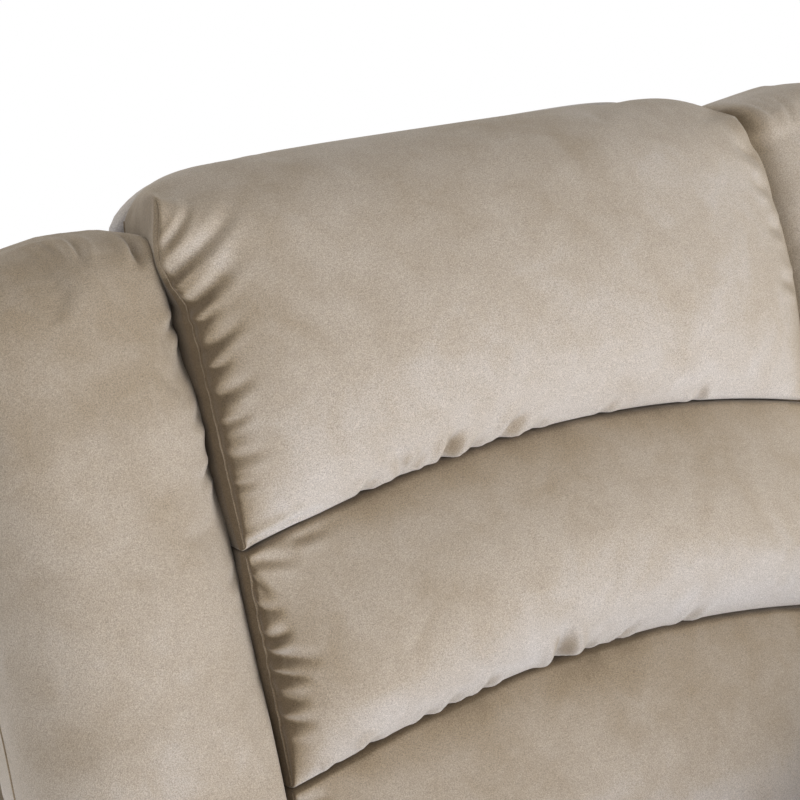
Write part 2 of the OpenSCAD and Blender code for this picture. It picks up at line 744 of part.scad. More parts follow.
module legrest_board() color("#c8a878")
    translate([-half_seat + 11, LEG_P.x - board_t, LEG_P.y - board_h])
        cube([seat_w - 22, board_t, board_h]);

// Section of the legrest pad at x, as [y, z]: flat against the board, full in front
function legrest_section(x, w) =
    let (e = fullness(x, w, 4), rear = LEG_P.x - board_t - seat_on, t = 22 + (foot_pad_t - 22) * e,
         z0 = LEG_P.y - board_h - 2 + 5 * (1 - e), z1 = LEG_P.y + 2 - 5 * (1 - e), r = 46)
    concat([[rear, z0]], arc([rear - t * 0.4, z0 + r], t * 0.6, r, 270, 180, 5),
        [[rear - t - 2 * e, (z0 + z1) / 2 - 40], [rear - t - 2 * e, (z0 + z1) / 2 + 40]],
        arc([rear - t * 0.4, z1 - r], t * 0.6, r, 180, 90, 5), [[rear, z1]]);

module legrest_pad() color("#bcae9c") {
    w = half_seat - soft_gap;
    soft_form([for (x = stations(w, 16)) [for (p = legrest_section(x, w)) [x, p.x, p.y]]]);
}

module back_drive_links() color("#3a3a3d") both_sides()
    side_plate(drive_link_x, leg_link_t) difference() {
        union() {
            bar(DRIVE_K, DRIVE_K + DRIVE_KNEE, 14);
            bar(DRIVE_K + DRIVE_KNEE, DRIVE_L, 14);
            translate(DRIVE_K) circle(d = rivet_d + 9);
            cross_slot(DRIVE_K, DRIVE_L, rivet_d + 14, play_drive);
        }
        translate(DRIVE_K) circle(d = rivet_d + 2 * run);
        cross_slot(DRIVE_K, DRIVE_L, rivet_d + 5.5, play_drive);
    }

// ---------------------------------------------------------------- backrest

module back_frame() color("#c8a878") {
    post_in = post_out - post_w;
    rail_h = 46;
    both_sides() {
        back_board(post_in, post_out, 20, frame_top);
        on_back() translate([post_out + board_joint, -frame_rear - wing_board_t, wing_low + 12])
            cube([arm_out - 14 - post_out, wing_board_t, frame_top - 20 - wing_low]);
    }
    for (u = [20, (wing_low + seam_low) / 2, frame_top - rail_h])
        back_board(-post_in + board_joint, post_in - board_joint, u, u + rail_h);
}

module back_pivot_plates() color("#2f2f32") both_sides() difference() {
    union() {
        on_back() translate([post_out, -frame_front, 30]) cube([plate_t - 0.5, back_timber, 190]);
        side_plate(post_out, plate_t - 0.5) translate(BACK_PIVOT) circle(d = 36);
        on_back() translate([post_out, -frame_front, pivot_u]) cube([plate_t - 0.5, back_timber, 30]);
    }
    pin(post_out - 1, plate_x, BACK_PIVOT, lift_stud_d + 2 * run);
}

// A lever that hangs from the underside of the frame's bottom rail
module back_lever(x, tip, w) side_plate(x, leg_link_t) difference() {
    root = on_back_point(20, frame_front - back_timber / 2);
    bar(tip, root, w);
    translate(back_ref) rotate(-lean) translate([-60, 20]) square([120, 60]);
}

module back_levers() color("#2f2f32") {
    both_sides() {
        back_lever(drive_lever_x, DRIVE_L, 20);
        pin(drive_lever_x + leg_link_t, drive_link_x + leg_link_t + 0.3, DRIVE_L, rivet_d);
    }
    for (s = [-1, 1])
        back_lever(recline_x + s * (eye_half + leg_link_t / 2) - leg_link_t / 2, RECLINE_N, 20);
    pin(recline_x - eye_half, recline_x + eye_half, RECLINE_N, clevis_pin_d);
}

module back_webbing() color("#4a4238") {
    straps = 6;
    span = frame_top - 130;
    on_back() for (i = [0 : straps - 1])
        translate([-post_out, -frame_front - web_t, 80 + i * span / straps])
            cube([2 * post_out, web_t, 50]);
}

back_corner_r = 40;         // outer corners of the outside back

module outside_back() color("#a99b89") {
    r = back_corner_r;
    top = frame_top + 14;
    on_back() translate([0, -frame_rear + seat_on + outside_t, 0]) rotate([90, 0, 0])
        linear_extrude(outside_t) {
            difference() {
                translate([-arm_out + 2, wing_low]) square([2 * arm_out - 4, top - wing_low]);
                for (s = [-1, 1]) translate([s * (arm_out - 2), top])
                    square([2 * r, 2 * r], center = true);
            }
            for (s = [-1, 1]) translate([s * (arm_out - 2 - r), top - r]) circle(r = r);
            translate([-post_out, 26]) square([2 * post_out, wing_low - 25]);
        }
}

// Rise of a cross seam at x: the higher the power, the flatter the seam's middle
function rise(x, w, arch, power = 2) = arch * (1 - pow(abs(x) / w, power));

// Section of a back pillow between heights u0 and u1 at x, as [-v, u], from its lower seam up.
// Its front is fullest below the middle.
function pillow_section(x, w, u0, u1, v_low, v_up, crown_up) =
    let (e = fullness(x, w), n = 12)
    concat(
        [for (i = [0 : n]) let (t = i / n)
            [-(v_low + (v_up - v_low) * t + pillow_crown * e * sin(180 * pow(t, 0.75))
                + 10 * e), u0 + (u1 - u0) * t]],
        [[-(pillow_back + v_up) / 2, u1 + crown_up * e], [-pillow_back, u1],
         [-pillow_back, u0]]);

module pillow(u_low, u_up, v_low, v_up, arch_low, arch_up, power_up = 2, crown_up = 0)
    color("#bcae9c") {
        w = pillow_w / 2;
        on_back() soft_form([for (x = stations(w, 16))
            [for (p = pillow_section(x, w, u_low + rise(x, w, arch_low),
                u_up + rise(x, w, arch_up, power_up), v_low, v_up, crown_up)) [x, p.x, p.y]]]);
    }

module lower_pillow()
    pillow(seam_low, seam_mid - seat_on, depth_low, depth_mid, 0, seam_arch);
module middle_pillow()
    pillow(seam_mid + seat_on, seam_neck - seat_on, depth_mid, depth_neck, seam_arch, seam_arch);
module head_pillow()
    pillow(seam_neck + seat_on, seam_top, depth_neck, depth_top, seam_arch, top_arch, 16,
        top_crown);

// Section of a wing at height u, as [x, -v]: round outer front edge, tighter inner one
function wing_section(u, u_top) =
    let (cap = 60, t = max(0, (u - (u_top - cap)) / cap),
         close = sqrt(max(0.1, 1 - pow(t, 4))), back = frame_rear + wing_board_t + seat_on,
         deep = (lookup(u, SEAMS) - wing_set_back - back) * close,
         side = 6 * t * t, x0 = wing_in + side, x1 = arm_out - 2 - side,
         r_in = min(26, deep * 0.5), r_out = min(58, deep * 0.6), f = back + deep)
    [for (p = concat([[x1, back], [x1 + 1, back + (deep - r_out) / 2]],
        arc([x1 - r_out, f - r_out - wing_crown], r_out, r_out, 0, 70, 4),
        [[(x0 + x1) / 2 + 22, f - wing_crown * 0.15], [(x0 + x1) / 2 - 22, f]],
        arc([x0 + r_in, f - r_in - 4], r_in, r_in, 110, 180, 4),
        [[x0, back + (deep - r_in) / 2], [x0, back]])) [p.x, -p.y]];

// Height u of the wings' level underside at depth v
function wing_under(v) = (wing_floor - back_ref.y - v * sin(lean)) / cos(lean);

module wing() color("#bcae9c") {
    top = seam_top + 14;
    n = 14;
    on_back() soft_form([for (i = [0 : n]) let (s = sin(90 * i / n), u = wing_low + (top - wing_low) * s)
        [for (p = wing_section(u, top)) [p.x, p.y, wing_under(-p.y) * (1 - s) + top * s]]],
        [0, 0, 1], 3);
}

module wing_right() wing();
module wing_left() mirror([1, 0, 0]) wing();

// ---------------------------------------------------------------- handset

module handset_half(x0, x1) {
    r = handset_w / 2 - 6;
    z0 = handset_floor + 0.5;
    translate([x0, handset_y, z0]) rotate([90, 0, 90]) linear_extrude(x1 - x0) difference() {
        union() {
            translate([0, r]) square([handset_w, handset_l - 2 * r]);
            translate([r, 0]) square([handset_w - 2 * r, handset_l]);
            for (a = [r, handset_w - r], b = [r, handset_l - r]) translate([a, b]) circle(r = r);
        }
        if (x0 < -(pocket_x + handset_t / 2 + 4)) for (i = [0 : 3]) translate(button_at(i))
            circle(d = button_d + 0.6);
    }
}

function button_at(i) = [handset_w / 2 + (i % 2 == 0 ? -10 : 10),
    handset_l - (i < 2 ? 17 : 37)];

module handset_front() color("#2a2a2c")
    handset_half(handset_x - handset_t, handset_x - handset_t / 2 - 0.1);
module handset_back() color("#2a2a2c")
    handset_half(handset_x - handset_t / 2, handset_x);

module button(i) color("#d7d4cd")
    translate([handset_x - handset_t - button_proud, handset_y + button_at(i).x,
        handset_floor + 0.5 + button_at(i).y])
        rotate([0, 90, 0]) cylinder(d = button_d, h = handset_t / 2 + button_proud
            - button_travel - 0.5);

module button_raise() button(0);
module button_lower() button(1);
module button_recline() button(2);
module button_upright() button(3);

// ---------------------------------------------------------------- nodes

base_side_rails();
base_cross_tubes();
floor_glides();
base_brackets();
base_pivot_studs();
power_supply();
front_lift_links();
rear_lift_links();
lift_gear_housing();
lift_motor();
lift_outer_tube();
lift_rod();
mechanism_side_plates();
carriage_pivot_studs();
carriage_cross_tubes();
actuator_lugs();
seat_frame();
seat_webbing();
seat_cushion();
arm_mount_spacers();
arm_frames();
arm_inner_panels();
arm_outer_panels();
arm_front_panels();
arm_rear_panels();
arm_pad_left();
arm_pad_right();
side_pocket_left();
side_pocket_right();
control_box();
recline_gear_housing();
recline_motor();
recline_outer_tube();
recline_rod();
drive_tube();
rear_leg_links();
outer_leg_links();
front_leg_links();
inner_leg_links();
legrest_brackets();
legrest_board();
legrest_pad();
back_drive_links();
back_frame();
back_pivot_plates();
back_levers();
back_webbing();
outside_back();
lower_pillow();
middle_pillow();
head_pillow();
wing_left();
wing_right();
handset_front();
handset_back();
button_raise();
button_lower();
button_recline();
button_upright();
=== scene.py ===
# %% [markdown]
# # A lift recliner chair in taupe velvet
# The chair's skeleton comes ready made: a packed set of rigid solids, one for each timber, tube,
# link and motor, together with the joints that move them. This lesson dresses that skeleton. The
# soft goods are modelled here as sewn covers over their fillings, and the hard parts that stay in
# view keep their shapes and get finishes of their own.

# %% Load the frame
import json
import math

import bmesh
import bpy
import numpy as np
from mathutils import Matrix, Vector


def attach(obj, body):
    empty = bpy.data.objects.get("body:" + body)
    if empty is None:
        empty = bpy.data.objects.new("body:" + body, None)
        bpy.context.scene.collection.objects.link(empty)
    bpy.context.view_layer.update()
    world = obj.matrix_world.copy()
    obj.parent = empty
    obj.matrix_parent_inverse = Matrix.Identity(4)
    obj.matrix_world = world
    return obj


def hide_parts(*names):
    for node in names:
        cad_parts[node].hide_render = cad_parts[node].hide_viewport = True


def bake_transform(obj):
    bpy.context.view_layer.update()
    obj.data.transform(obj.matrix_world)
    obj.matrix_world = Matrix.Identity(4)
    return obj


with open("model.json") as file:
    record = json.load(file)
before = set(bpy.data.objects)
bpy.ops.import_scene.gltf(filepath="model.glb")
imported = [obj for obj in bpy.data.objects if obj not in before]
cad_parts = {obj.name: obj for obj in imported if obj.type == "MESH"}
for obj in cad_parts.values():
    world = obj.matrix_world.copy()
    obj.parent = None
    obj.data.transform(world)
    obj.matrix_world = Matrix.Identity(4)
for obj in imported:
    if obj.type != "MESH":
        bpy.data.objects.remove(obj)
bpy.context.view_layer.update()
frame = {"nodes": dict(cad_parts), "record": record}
scene = bpy.context.scene
scene.view_settings.view_transform = "Standard"


def link_object(name, data):
    thing = bpy.data.objects.new(name, data)
    scene.collection.objects.link(thing)
    return thing


# %% [markdown]
# A camera is a place, a direction and a focal length. Here it stands in front of the chair's left
# half, a little above the head pillow, and a long lens keeps the perspective gentle. The camera is
# aimed by a quaternion that turns its own -Z axis along the line of sight.

# %% Camera
CAMERA_TURN = math.radians(-31.99)
CAMERA_RISE = math.radians(22.79)
CAMERA_DISTANCE = 1.5
CAMERA_TARGET = Vector((-0.1445, 0.165, 0.9261))
SENSOR = 36.0
FOCAL_SHARE = 2054.9 / 800
CLIP_START, CLIP_END = 0.05, 60

sight = Vector((math.sin(CAMERA_TURN) * math.cos(CAMERA_RISE),
                -math.cos(CAMERA_TURN) * math.cos(CAMERA_RISE), math.sin(CAMERA_RISE)))
camera = link_object("camera", bpy.data.cameras.new("camera"))
camera.data.sensor_width = SENSOR
camera.data.lens = SENSOR * FOCAL_SHARE
camera.data.clip_start, camera.data.clip_end = CLIP_START, CLIP_END
camera.location = CAMERA_TARGET + sight * CAMERA_DISTANCE
camera.rotation_mode = "QUATERNION"
camera.rotation_quaternion = (-sight).to_track_quat("-Z", "Y")
scene.camera = camera
print("lens", round(camera.data.lens, 1), "mm")

# %% [markdown]
# Soft studio light comes from large lamps: the wider the lamp, the softer the edge of a shadow.
# The main lamp stands low in front and to the right, a weaker one fills the left, and one from
# above lifts the tops. A rim lamp keeps the chair's back from going dull when the camera walks
# round it.

# %% Lamps
def soft_lamp(name, place, aim, width, watts):
    data = bpy.data.lights.new(name, "AREA")
    data.shape = "SQUARE"
    data.size = width
    data.energy = watts
    lamp = link_object(name, data)
    lamp.location = place
    lamp.rotation_mode = "QUATERNION"
    lamp.rotation_quaternion = (Vector(aim) - Vector(place)).to_track_quat("-Z", "Y")


soft_lamp("front_lamp", (1.4, -3.0, 0.60), (0, 0.1, 0.85), 1.9, 106)
soft_lamp("fill_lamp", (-2.6, -2.2, 0.9), (0, 0.1, 0.7), 1.8, 29)
soft_lamp("top_lamp", (0.3, 0.2, 3.6), (0, 0.1, 0.6), 2.4, 13)
soft_lamp("back_lamp", (-1.5, 3.2, 2.0), (0, 0.2, 0.7), 2.0, 34)

# %% [markdown]
# The world gives an even glow from all round. What the camera itself sees of it is a separate
# matter: Light Path tells a camera ray from a light ray, so the backdrop is plain white for the
# camera, for mirrors and for glass, while the chair is still lit by a modest grey.

# %% World
GLOW_COLOUR, GLOW_STRENGTH = (0.97, 0.98, 1.0, 1), 0.47
WHITE = (1, 1, 1, 1)


def new_tree(owner):
    owner.use_nodes = True
    tree = owner.node_tree
    tree.nodes.clear()
    return tree


def feed(tree, node, inputs):
    """inputs gives a socket its value, or the output of another node that is linked to it."""
    for socket, value in inputs.items():
        if isinstance(value, bpy.types.NodeSocket):
            tree.links.new(value, node.inputs[socket])
        else:
            node.inputs[socket].default_value = value


def add_node(tree, kind, inputs=None, **settings):
    node = tree.nodes.new("ShaderNode" + kind)
    for name, value in settings.items():
        setattr(node, name, value)
    feed(tree, node, inputs or {})
    return node


def rays_of(tree, first, *others):
    """1 where a ray is of one of these kinds, and 0 for all other rays."""
    path = add_node(tree, "LightPath")
    seen = path.outputs[f"Is {first} Ray"]
    for kind in others:
        seen = add_node(tree, "Math", {0: seen, 1: path.outputs[f"Is {kind} Ray"]},
                        operation="MAXIMUM").outputs[0]
    return seen


world = bpy.data.worlds.new("studio")
scene.world = world
tree = new_tree(world)
glow = add_node(tree, "Background", {"Color": GLOW_COLOUR, "Strength": GLOW_STRENGTH})
backdrop = add_node(tree, "Background", {"Color": WHITE})
mix = add_node(tree, "MixShader", {0: rays_of(tree, "Camera", "Glossy", "Transmission"),
                                   1: glow.outputs[0], 2: backdrop.outputs[0]})
add_node(tree, "OutputWorld", {0: mix.outputs[0]})
print("world glow", GLOW_STRENGTH)

# %% [markdown]
# The floor only has to be pale and plain and to catch the chair's shadow. A single big quad does.

# %% Floor
FLOOR_SIDE = 30.0
FLOOR_GREY, FLOOR_ROUGHNESS = (0.86, 0.86, 0.86, 1), 0.7
FADE_START, FADE_END, FADE_LEAST = 0.9, 1.9, 0.35


def piece_from(bm, name, finish):
    mesh = bpy.data.meshes.new(name)
    bm.to_mesh(mesh)
    bm.free()
    mesh.shade_smooth()
    mesh.materials.append(finish)
    return link_object(name, mesh)


floor_finish = bpy.data.materials.new("pale_floor")
tree = new_tree(floor_finish)
paint = add_node(tree, "BsdfPrincipled", {"Base Color": FLOOR_GREY, "Roughness": FLOOR_ROUGHNESS})
white = add_node(tree, "Emission")
place = add_node(tree, "TexCoord").outputs["Object"]
distance = add_node(tree, "VectorMath", {0: place}, operation="LENGTH").outputs["Value"]
fade = add_node(tree, "MapRange", {"Value": distance, "From Min": FADE_START,
                                   "From Max": FADE_END, "To Min": FADE_LEAST})
share = add_node(tree, "Math", {0: rays_of(tree, "Camera", "Glossy"), 1: fade.outputs["Result"]},
                 operation="MULTIPLY")
mix = add_node(tree, "MixShader", {0: share.outputs[0], 1: paint.outputs[0], 2: white.outputs[0]})
add_node(tree, "OutputMaterial", {0: mix.outputs[0]})
bm = bmesh.new()
bmesh.ops.create_grid(bm, x_segments=1, y_segments=1, size=FLOOR_SIDE / 2)
piece_from(bm, "floor", floor_finish)
print("floor", FLOOR_SIDE, "m square")

# %% [markdown]
# A finish is a tree of nodes that ends in one shader. The same few steps come back in every tree:
# a noise on the object's own coordinates, a ramp that turns its values into colours, and a bump.
# So each of them becomes a helper here.

# %% Helpers for finishes
BUMP_STRENGTH = 0.6


def noise_node(tree, coords, scale, detail, roughness, distortion=0.0):
    return add_node(tree, "TexNoise", {"Vector": coords, "Scale": scale, "Detail": detail,
                                       "Roughness": roughness,
                                       "Distortion": distortion}).outputs["Fac"]


def ramp_node(tree, source, stops):
    node = add_node(tree, "ValToRGB", {0: source})
    ramp = node.color_ramp
    while len(ramp.elements) < len(stops):
        ramp.elements.new(0.5)
    for element, (place, colour) in zip(ramp.elements, stops):
        element.position = place
        element.color = (*colour, 1)
    return node.outputs[0]


def start_finish(name):
    finish = bpy.data.materials.new(name)
    tree = new_tree(finish)
    shader = add_node(tree, "BsdfPrincipled")
    add_node(tree, "OutputMaterial", {0: shader.outputs[0]})
    return finish, tree, shader, add_node(tree, "TexCoord").outputs["Object"]


def add_bump(tree, shader, height, depth):
    bump = add_node(tree, "Bump", {"Height": height, "Distance": depth,
                                   "Strength": BUMP_STRENGTH})
    feed(tree, shader, {"Normal": bump.outputs[0]})

# %% [markdown]
# Velvet is a cloth with a short, dense pile. Seen from straight ahead it is matt, towards its
# edges it glows a little, and wherever a hand has brushed it the pile lies another way and the
# shade changes. A stored value on each point holds the piece's tone less a painted shade: it is
# lower where the surface faces up, sits in a gap or lies under an overhang, and higher where it
# faces down. Blotches as wide as a hand and smears of a few centimetres are added to it, and a
# ramp of four taupes, from a painted-shade brown to a painted-light pale, turns the sum into a
# colour. A grain of about a millimetre speckles it and gives a slight bump.

# %% Velvet
BLOTCHES, SMEARS, GRAIN = (7, 3, 0.5, 0.8), (30, 4, 0.6, 0.5), (1100, 2, 0.8)
BLOTCH_SHARE, SMEAR_SHARE = 0.35, 0.23
GRAIN_DEPTH = 0.0006
SPECKS = ((0.30, (0.64,) * 3), (0.70, (1.30,) * 3))
# The two darkest taupes paint shade, the third is the velvet's own colour and the palest paints
# light.
TAUPES_SHADED_TO_LIT = ((0.0, (0.165, 0.120, 0.074)), (0.14, (0.312, 0.244, 0.167)),
          (0.38, (0.436, 0.372, 0.305)), (0.70, (0.600, 0.570, 0.562)))
SHEEN_TINT = (0.95, 0.91, 0.86, 1)


def velvet(name, shades):
    finish, tree, shader, place = start_finish(name)
    # The stored value holds each piece's tone and its painted shade.
    tone_and_shade = add_node(tree, "Attribute", attribute_name="tone_and_painted_shade").outputs["Fac"]
    for marks, share in ((BLOTCHES, BLOTCH_SHARE), (SMEARS, SMEAR_SHARE)):
        tone_and_shade = add_node(tree, "Math", {0: noise_node(tree, place, *marks), 1: share, 2: tone_and_shade},
                       operation="MULTIPLY_ADD").outputs[0]
    grain = noise_node(tree, place, *GRAIN)
    colour = add_node(tree, "Mix", {0: 1.0, 6: ramp_node(tree, tone_and_shade, shades),
                                    7: ramp_node(tree, grain, SPECKS)},
                      data_type="RGBA", blend_type="MULTIPLY").outputs[2]
    feed(tree, shader, {"Base Color": colour, "Roughness": 0.88, "Specular IOR Level": 0.18,
                        "Sheen Weight": 0.32, "Sheen Roughness": 0.42, "Sheen Tint": SHEEN_TINT})
    add_bump(tree, shader, grain, GRAIN_DEPTH)
    return finish


taupe_velvet = velvet("taupe_velvet", TAUPES_SHADED_TO_LIT)
print("finish", taupe_velvet.name)

# %% [markdown]
# All the soft goods start in the same way: a cube whose faces are cut into a fine grid. Its twelve
# edges become the sewn seams, its front face the front panel, its sides the boxing strip. A form
# function then takes each point of that cube, with coordinates from -1 to 1, to its place on the
# cushion. The cut has its own count along each axis, so the little squares come out nearly square.

# %% Helpers for covers
def gridded_cube(across, deep, high):
    bm = bmesh.new()
    bmesh.ops.create_cube(bm, size=2)
    for axis, count in enumerate((across, deep, high)):
        along = [edge for edge in bm.edges
                 if abs((edge.verts[0].co - edge.verts[1].co)[axis]) > 0.5]
        bmesh.ops.subdivide_edges(bm, edges=along, cuts=count - 1, use_grid_fill=True)
    return bm


def velvet_piece(bm, name):
    bmesh.ops.recalc_face_normals(bm, faces=bm.faces)
    return piece_from(bm, name, taupe_velvet)


def finish_piece(piece, body, node=None):
    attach(piece, body)
    if node:
        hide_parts(node)
    print(piece.name, len(piece.data.polygons), "faces, rides on", body)


def step(low, high, value):
    """0 below low, 1 above high, and a soft slope between them."""
    t = np.clip((value - low) / (high - low), 0, 1)
    return t * t * (3 - 2 * t)

# %% [markdown]
# Many thousand points are moved as one table of numbers: foreach_get hands them over, foreach_set
# takes them back. Each point's place on the cube is also stored on the mesh, under the name of
# panel, because a subdivision carries it on to the new points.

# %% Reading and writing points
EDGE = 0.999


def read(items, field):
    flat = np.empty(len(items) * 3)
    items.foreach_get(field, flat)
    return flat.reshape(-1, 3)


def coords_of(piece):
    return read(piece.data.vertices, "co")


def normals_of(piece):
    return read(piece.data.vertex_normals, "vector")


def move_to(piece, coords):
    piece.data.vertices.foreach_set("co", np.asarray(coords, float).ravel())
    piece.data.update()


def store(piece, name, values):
    kind, field = ("FLOAT_VECTOR", "vector") if np.ndim(values) == 2 else ("FLOAT", "value")
    layer = piece.data.attributes.get(name) or piece.data.attributes.new(name, kind, "POINT")
    layer.data.foreach_set(field, np.ravel(values).astype(np.float32))


def panel_of(piece):
    return read(piece.data.attributes["panel"].data, "vector")


def start_cover(name, counts):
    piece = velvet_piece(gridded_cube(*counts), name)
    cube = coords_of(piece)
    store(piece, "panel", cube)
    return piece, cube

# %% [markdown]
# A cover is cut a little larger than the seam that it is gathered into, and the filling presses it
# outwards. Blender's cloth does both: a negative shrink makes every thread longer, a pressure
# blows the cover up, and a group of points along the seams is held. The result is read back,
# limited to a set travel so that the cushion keeps its size, and written into the mesh.

# %% Cloth helper
CLOTH_FRAMES = 20
CLOTH_STIFFNESS = 14.0
CLOTH_BENDING = 0.25


def puff(piece, held, gathered, travel, gather, pressure):
    start = coords_of(piece)
    for name, weights in (("held", held), ("gathered", gathered)):
        group = piece.vertex_groups.new(name=name)
        for index in np.nonzero(weights > 0.01)[0]:
            group.add([int(index)], float(weights[index]), "REPLACE")
    cloth = piece.modifiers.new("Cloth", "CLOTH")
    setting = cloth.settings
    setting.quality = 4
    setting.tension_stiffness = setting.compression_stiffness = CLOTH_STIFFNESS
    setting.shear_stiffness = CLOTH_STIFFNESS / 2
    setting.bending_stiffness = CLOTH_BENDING
    setting.use_pressure = True
    setting.uniform_pressure_force = pressure
    setting.vertex_group_mass = "held"
    setting.vertex_group_shrink = "gathered"
    setting.shrink_min = 0
    setting.shrink_max = -gather
    setting.effector_weights.gravity = 0
    cloth.point_cache.frame_start, cloth.point_cache.frame_end = 1, CLOTH_FRAMES
    for number in range(1, CLOTH_FRAMES + 1):
        scene.frame_set(number)
    shaped = piece.evaluated_get(bpy.context.evaluated_depsgraph_get())
    moved = read(shaped.data.vertices, "co") - start
    far = np.linalg.norm(moved, axis=1, keepdims=True)
    limit = travel * np.tanh(far / travel) / np.maximum(far, 1e-9)
    piece.modifiers.remove(cloth)
    piece.vertex_groups.clear()
    move_to(piece, start + moved * limit)
    scene.frame_set(1)
    print(piece.name, "puffed by up to", round(float((far * limit).max()) * 1000, 1), "mm")

# %% [markdown]
# A modifier is only a recipe until it is applied. Here the evaluated mesh takes the old one's
# place, so that the needlework of the next steps finds real points to move. One subdivision after
# the cloth rounds what the grid left angular.

# %% Applying modifiers
def apply_modifiers(piece):
    shaped = piece.evaluated_get(bpy.context.evaluated_depsgraph_get())
    mesh = bpy.data.meshes.new_from_object(shaped)
    piece.modifiers.clear()
    old = piece.data
    piece.data = mesh
    bpy.data.meshes.remove(old)
    mesh.name = piece.name
    mesh.shade_smooth()


def refine(piece):
    smooth = piece.modifiers.new("Smooth", "SUBSURF")
    smooth.levels = smooth.render_levels = 1
    smooth.boundary_smooth = "PRESERVE_CORNERS"
    apply_modifiers(piece)


def fill_cover(piece, held, gathered, travel, gather=0.09, pressure=4.0):
    puff(piece, held, gathered, travel, gather, pressure)
    refine(piece)

# %% [markdown]
# The back leans by fourteen degrees. It is easier to model its cushions upright, in axes of the
# back's own: x across, z up along the back, and y towards the rear, so that a depth in front of
# the back is a negative y. One matrix then leans every piece into place, in its mesh.

# %% The back's own axes
LEAN = math.radians(14)
BACK_FOOT = (0, 0.225, 0.385)
BACK_PLACE = Matrix.Translation(BACK_FOOT) @ Matrix.Rotation(-LEAN, 4, "X")
SEAM_HEIGHTS = (0.0475, 0.2415, 0.4185, 0.6535)
SEAM_DEPTHS = (0.160, 0.174, 0.153, 0.101)
PILLOW_HALF = 0.270
PILLOW_REAR = 0.0105
BOXING_DRAWN_IN = 0.007


def lean_back(piece):
    piece.data.transform(BACK_PLACE)
    piece.data.update()

# %% [markdown]
# Two touches of the needle are made by moving points. A crease is a short furrow that starts at a
# seam and dies out in the panel, with a low ridge on each side, because the cloth that it takes in
# has to go somewhere. A seam line is a narrow groove where two panels meet.

# %% Creases and seams
FADE_IN, FADE_OUT = (-0.18, 0.08), (0.25, 1.0)
RIDGE_SHARE, RIDGE_PLACE, RIDGE_SPREAD = 0.55, 1.8, 0.9
FACING_GAIN, FACING_BASE = 1.6, 0.15


def crease(piece, furrows, plane=(0, 2), facing=(0, -1, 0)):
    """A furrow is its start, its end, a width and a depth, drawn on the plane's two axes."""
    coords, normals = coords_of(piece), normals_of(piece)
    towards = np.clip(normals @ np.array(facing, float) * FACING_GAIN + FACING_BASE, 0, 1)
    flat = coords[:, plane]
    sink = np.zeros(len(coords))
    for start, end, width, depth in furrows:
        start, run = np.array(start), np.array(end) - np.array(start)
        length = np.linalg.norm(run)
        t = (flat - start) @ run / length ** 2
        side = np.abs((flat - start) @ np.array([-run[1], run[0]]) / length) / width
        fade = step(*FADE_IN, t) * (1 - step(*FADE_OUT, t))
        ridge = RIDGE_SHARE * np.exp(-((side - RIDGE_PLACE) / RIDGE_SPREAD) ** 2)
        sink += depth * fade * (np.exp(-side ** 1.3) - ridge)
    move_to(piece, coords - normals * (sink * towards)[:, None])


def furrow_table(rows):
    """Each row: start across and up, end across and up, width, depth, in tenths of a mm."""
    return [((x0, z0), (x1, z1), width, depth)
            for x0, z0, x1, z1, width, depth in np.array(rows) / 10000]


def sew(piece, gap, depth=0.0022, width=0.0026):
    """gap is each point's distance from the nearest seam line, in metres."""
    groove = depth * np.exp(-(gap / width) ** 2)
    move_to(piece, coords_of(piece) - normals_of(piece) * groove[:, None])

# %% [markdown]
# Shade is painted into the velvet by the way each surface faces, as the light falls from the front
# and below. Where a surface faces the floor or the sitter it is painted pale, and where it faces
# the ceiling it is painted darker. That painted shade is stored on the points once, from the shape
# at rest, so it moves with the cloth.

# %% Shade painted by facing
BASE_TONE, FACING_SHADE = 0.16, 0.32


def paint_shade(piece, strength=FACING_SHADE, base=BASE_TONE, sides=0.0, deeper=0.0):
    """sides paints more shade on what faces sideways, and deeper is more painted shade for each
    point.
    """
    normals = normals_of(piece)
    slope = np.clip(normals[:, 2], -0.8, 0.9)
    # Stored: the piece's tone, less painted shade where the surface faces up or sideways or lies
    # in shade.
    store(piece, "tone_and_painted_shade", base - strength * slope - sides * normals[:, 0] ** 2 - deeper)

# %% [markdown]
# Where two panels are sewn together their turned edges make a fine ridge. The pile parts on it and
# shows its root, so it looks darker than the panels. The ridge is a thin thread of velvet laid
# along the mesh edge: a curve with a round bevel, turned into a mesh.

# %% Seam ridges
RIDGE_RADIUS, RIDGE_NAP = 0.0010, -0.10


def threaded(name, points, radius, tone_and_painted_shade, body="backrest", cyclic=False):
    curve = bpy.data.curves.new(name, "CURVE")
    curve.dimensions = "3D"
    curve.bevel_depth = radius
    curve.bevel_resolution = 2
    curve.use_fill_caps = not cyclic
    spline = curve.splines.new("POLY")
    spline.points.add(len(points) - 1)
    for point, place in zip(spline.points, points):
        point.co = (*place, 1)
    spline.use_cyclic_u = cyclic
    holder = link_object(name + "_line", curve)
    mesh = bpy.data.meshes.new_from_object(
        holder.evaluated_get(bpy.context.evaluated_depsgraph_get()))
    bpy.data.objects.remove(holder)
    mesh.name = name
    mesh.materials.clear()
    mesh.materials.append(taupe_velvet)
    mesh.shade_smooth()
    piece = link_object(name, mesh)
    paint_shade(piece, base=tone_and_painted_shade)
    finish_piece(piece, body)


def seam_ridge(name, piece, cube, chosen):
    """Follows the chosen points of the cube from the foot to the head."""
    line = np.nonzero(chosen)[0]
    line = line[np.argsort(cube[line, 2])]
    threaded(name, coords_of(piece)[line], RIDGE_RADIUS, RIDGE_NAP)

# %% [markdown]
# Each of the three tiers is one filled pillow. Its cross seams arch upwards in the middle of the
# back, its front is fullest below the middle, where the filling settles and hangs over the seam
# underneath, and it thins towards the sides, where the front panel is sewn to the boxing strip.

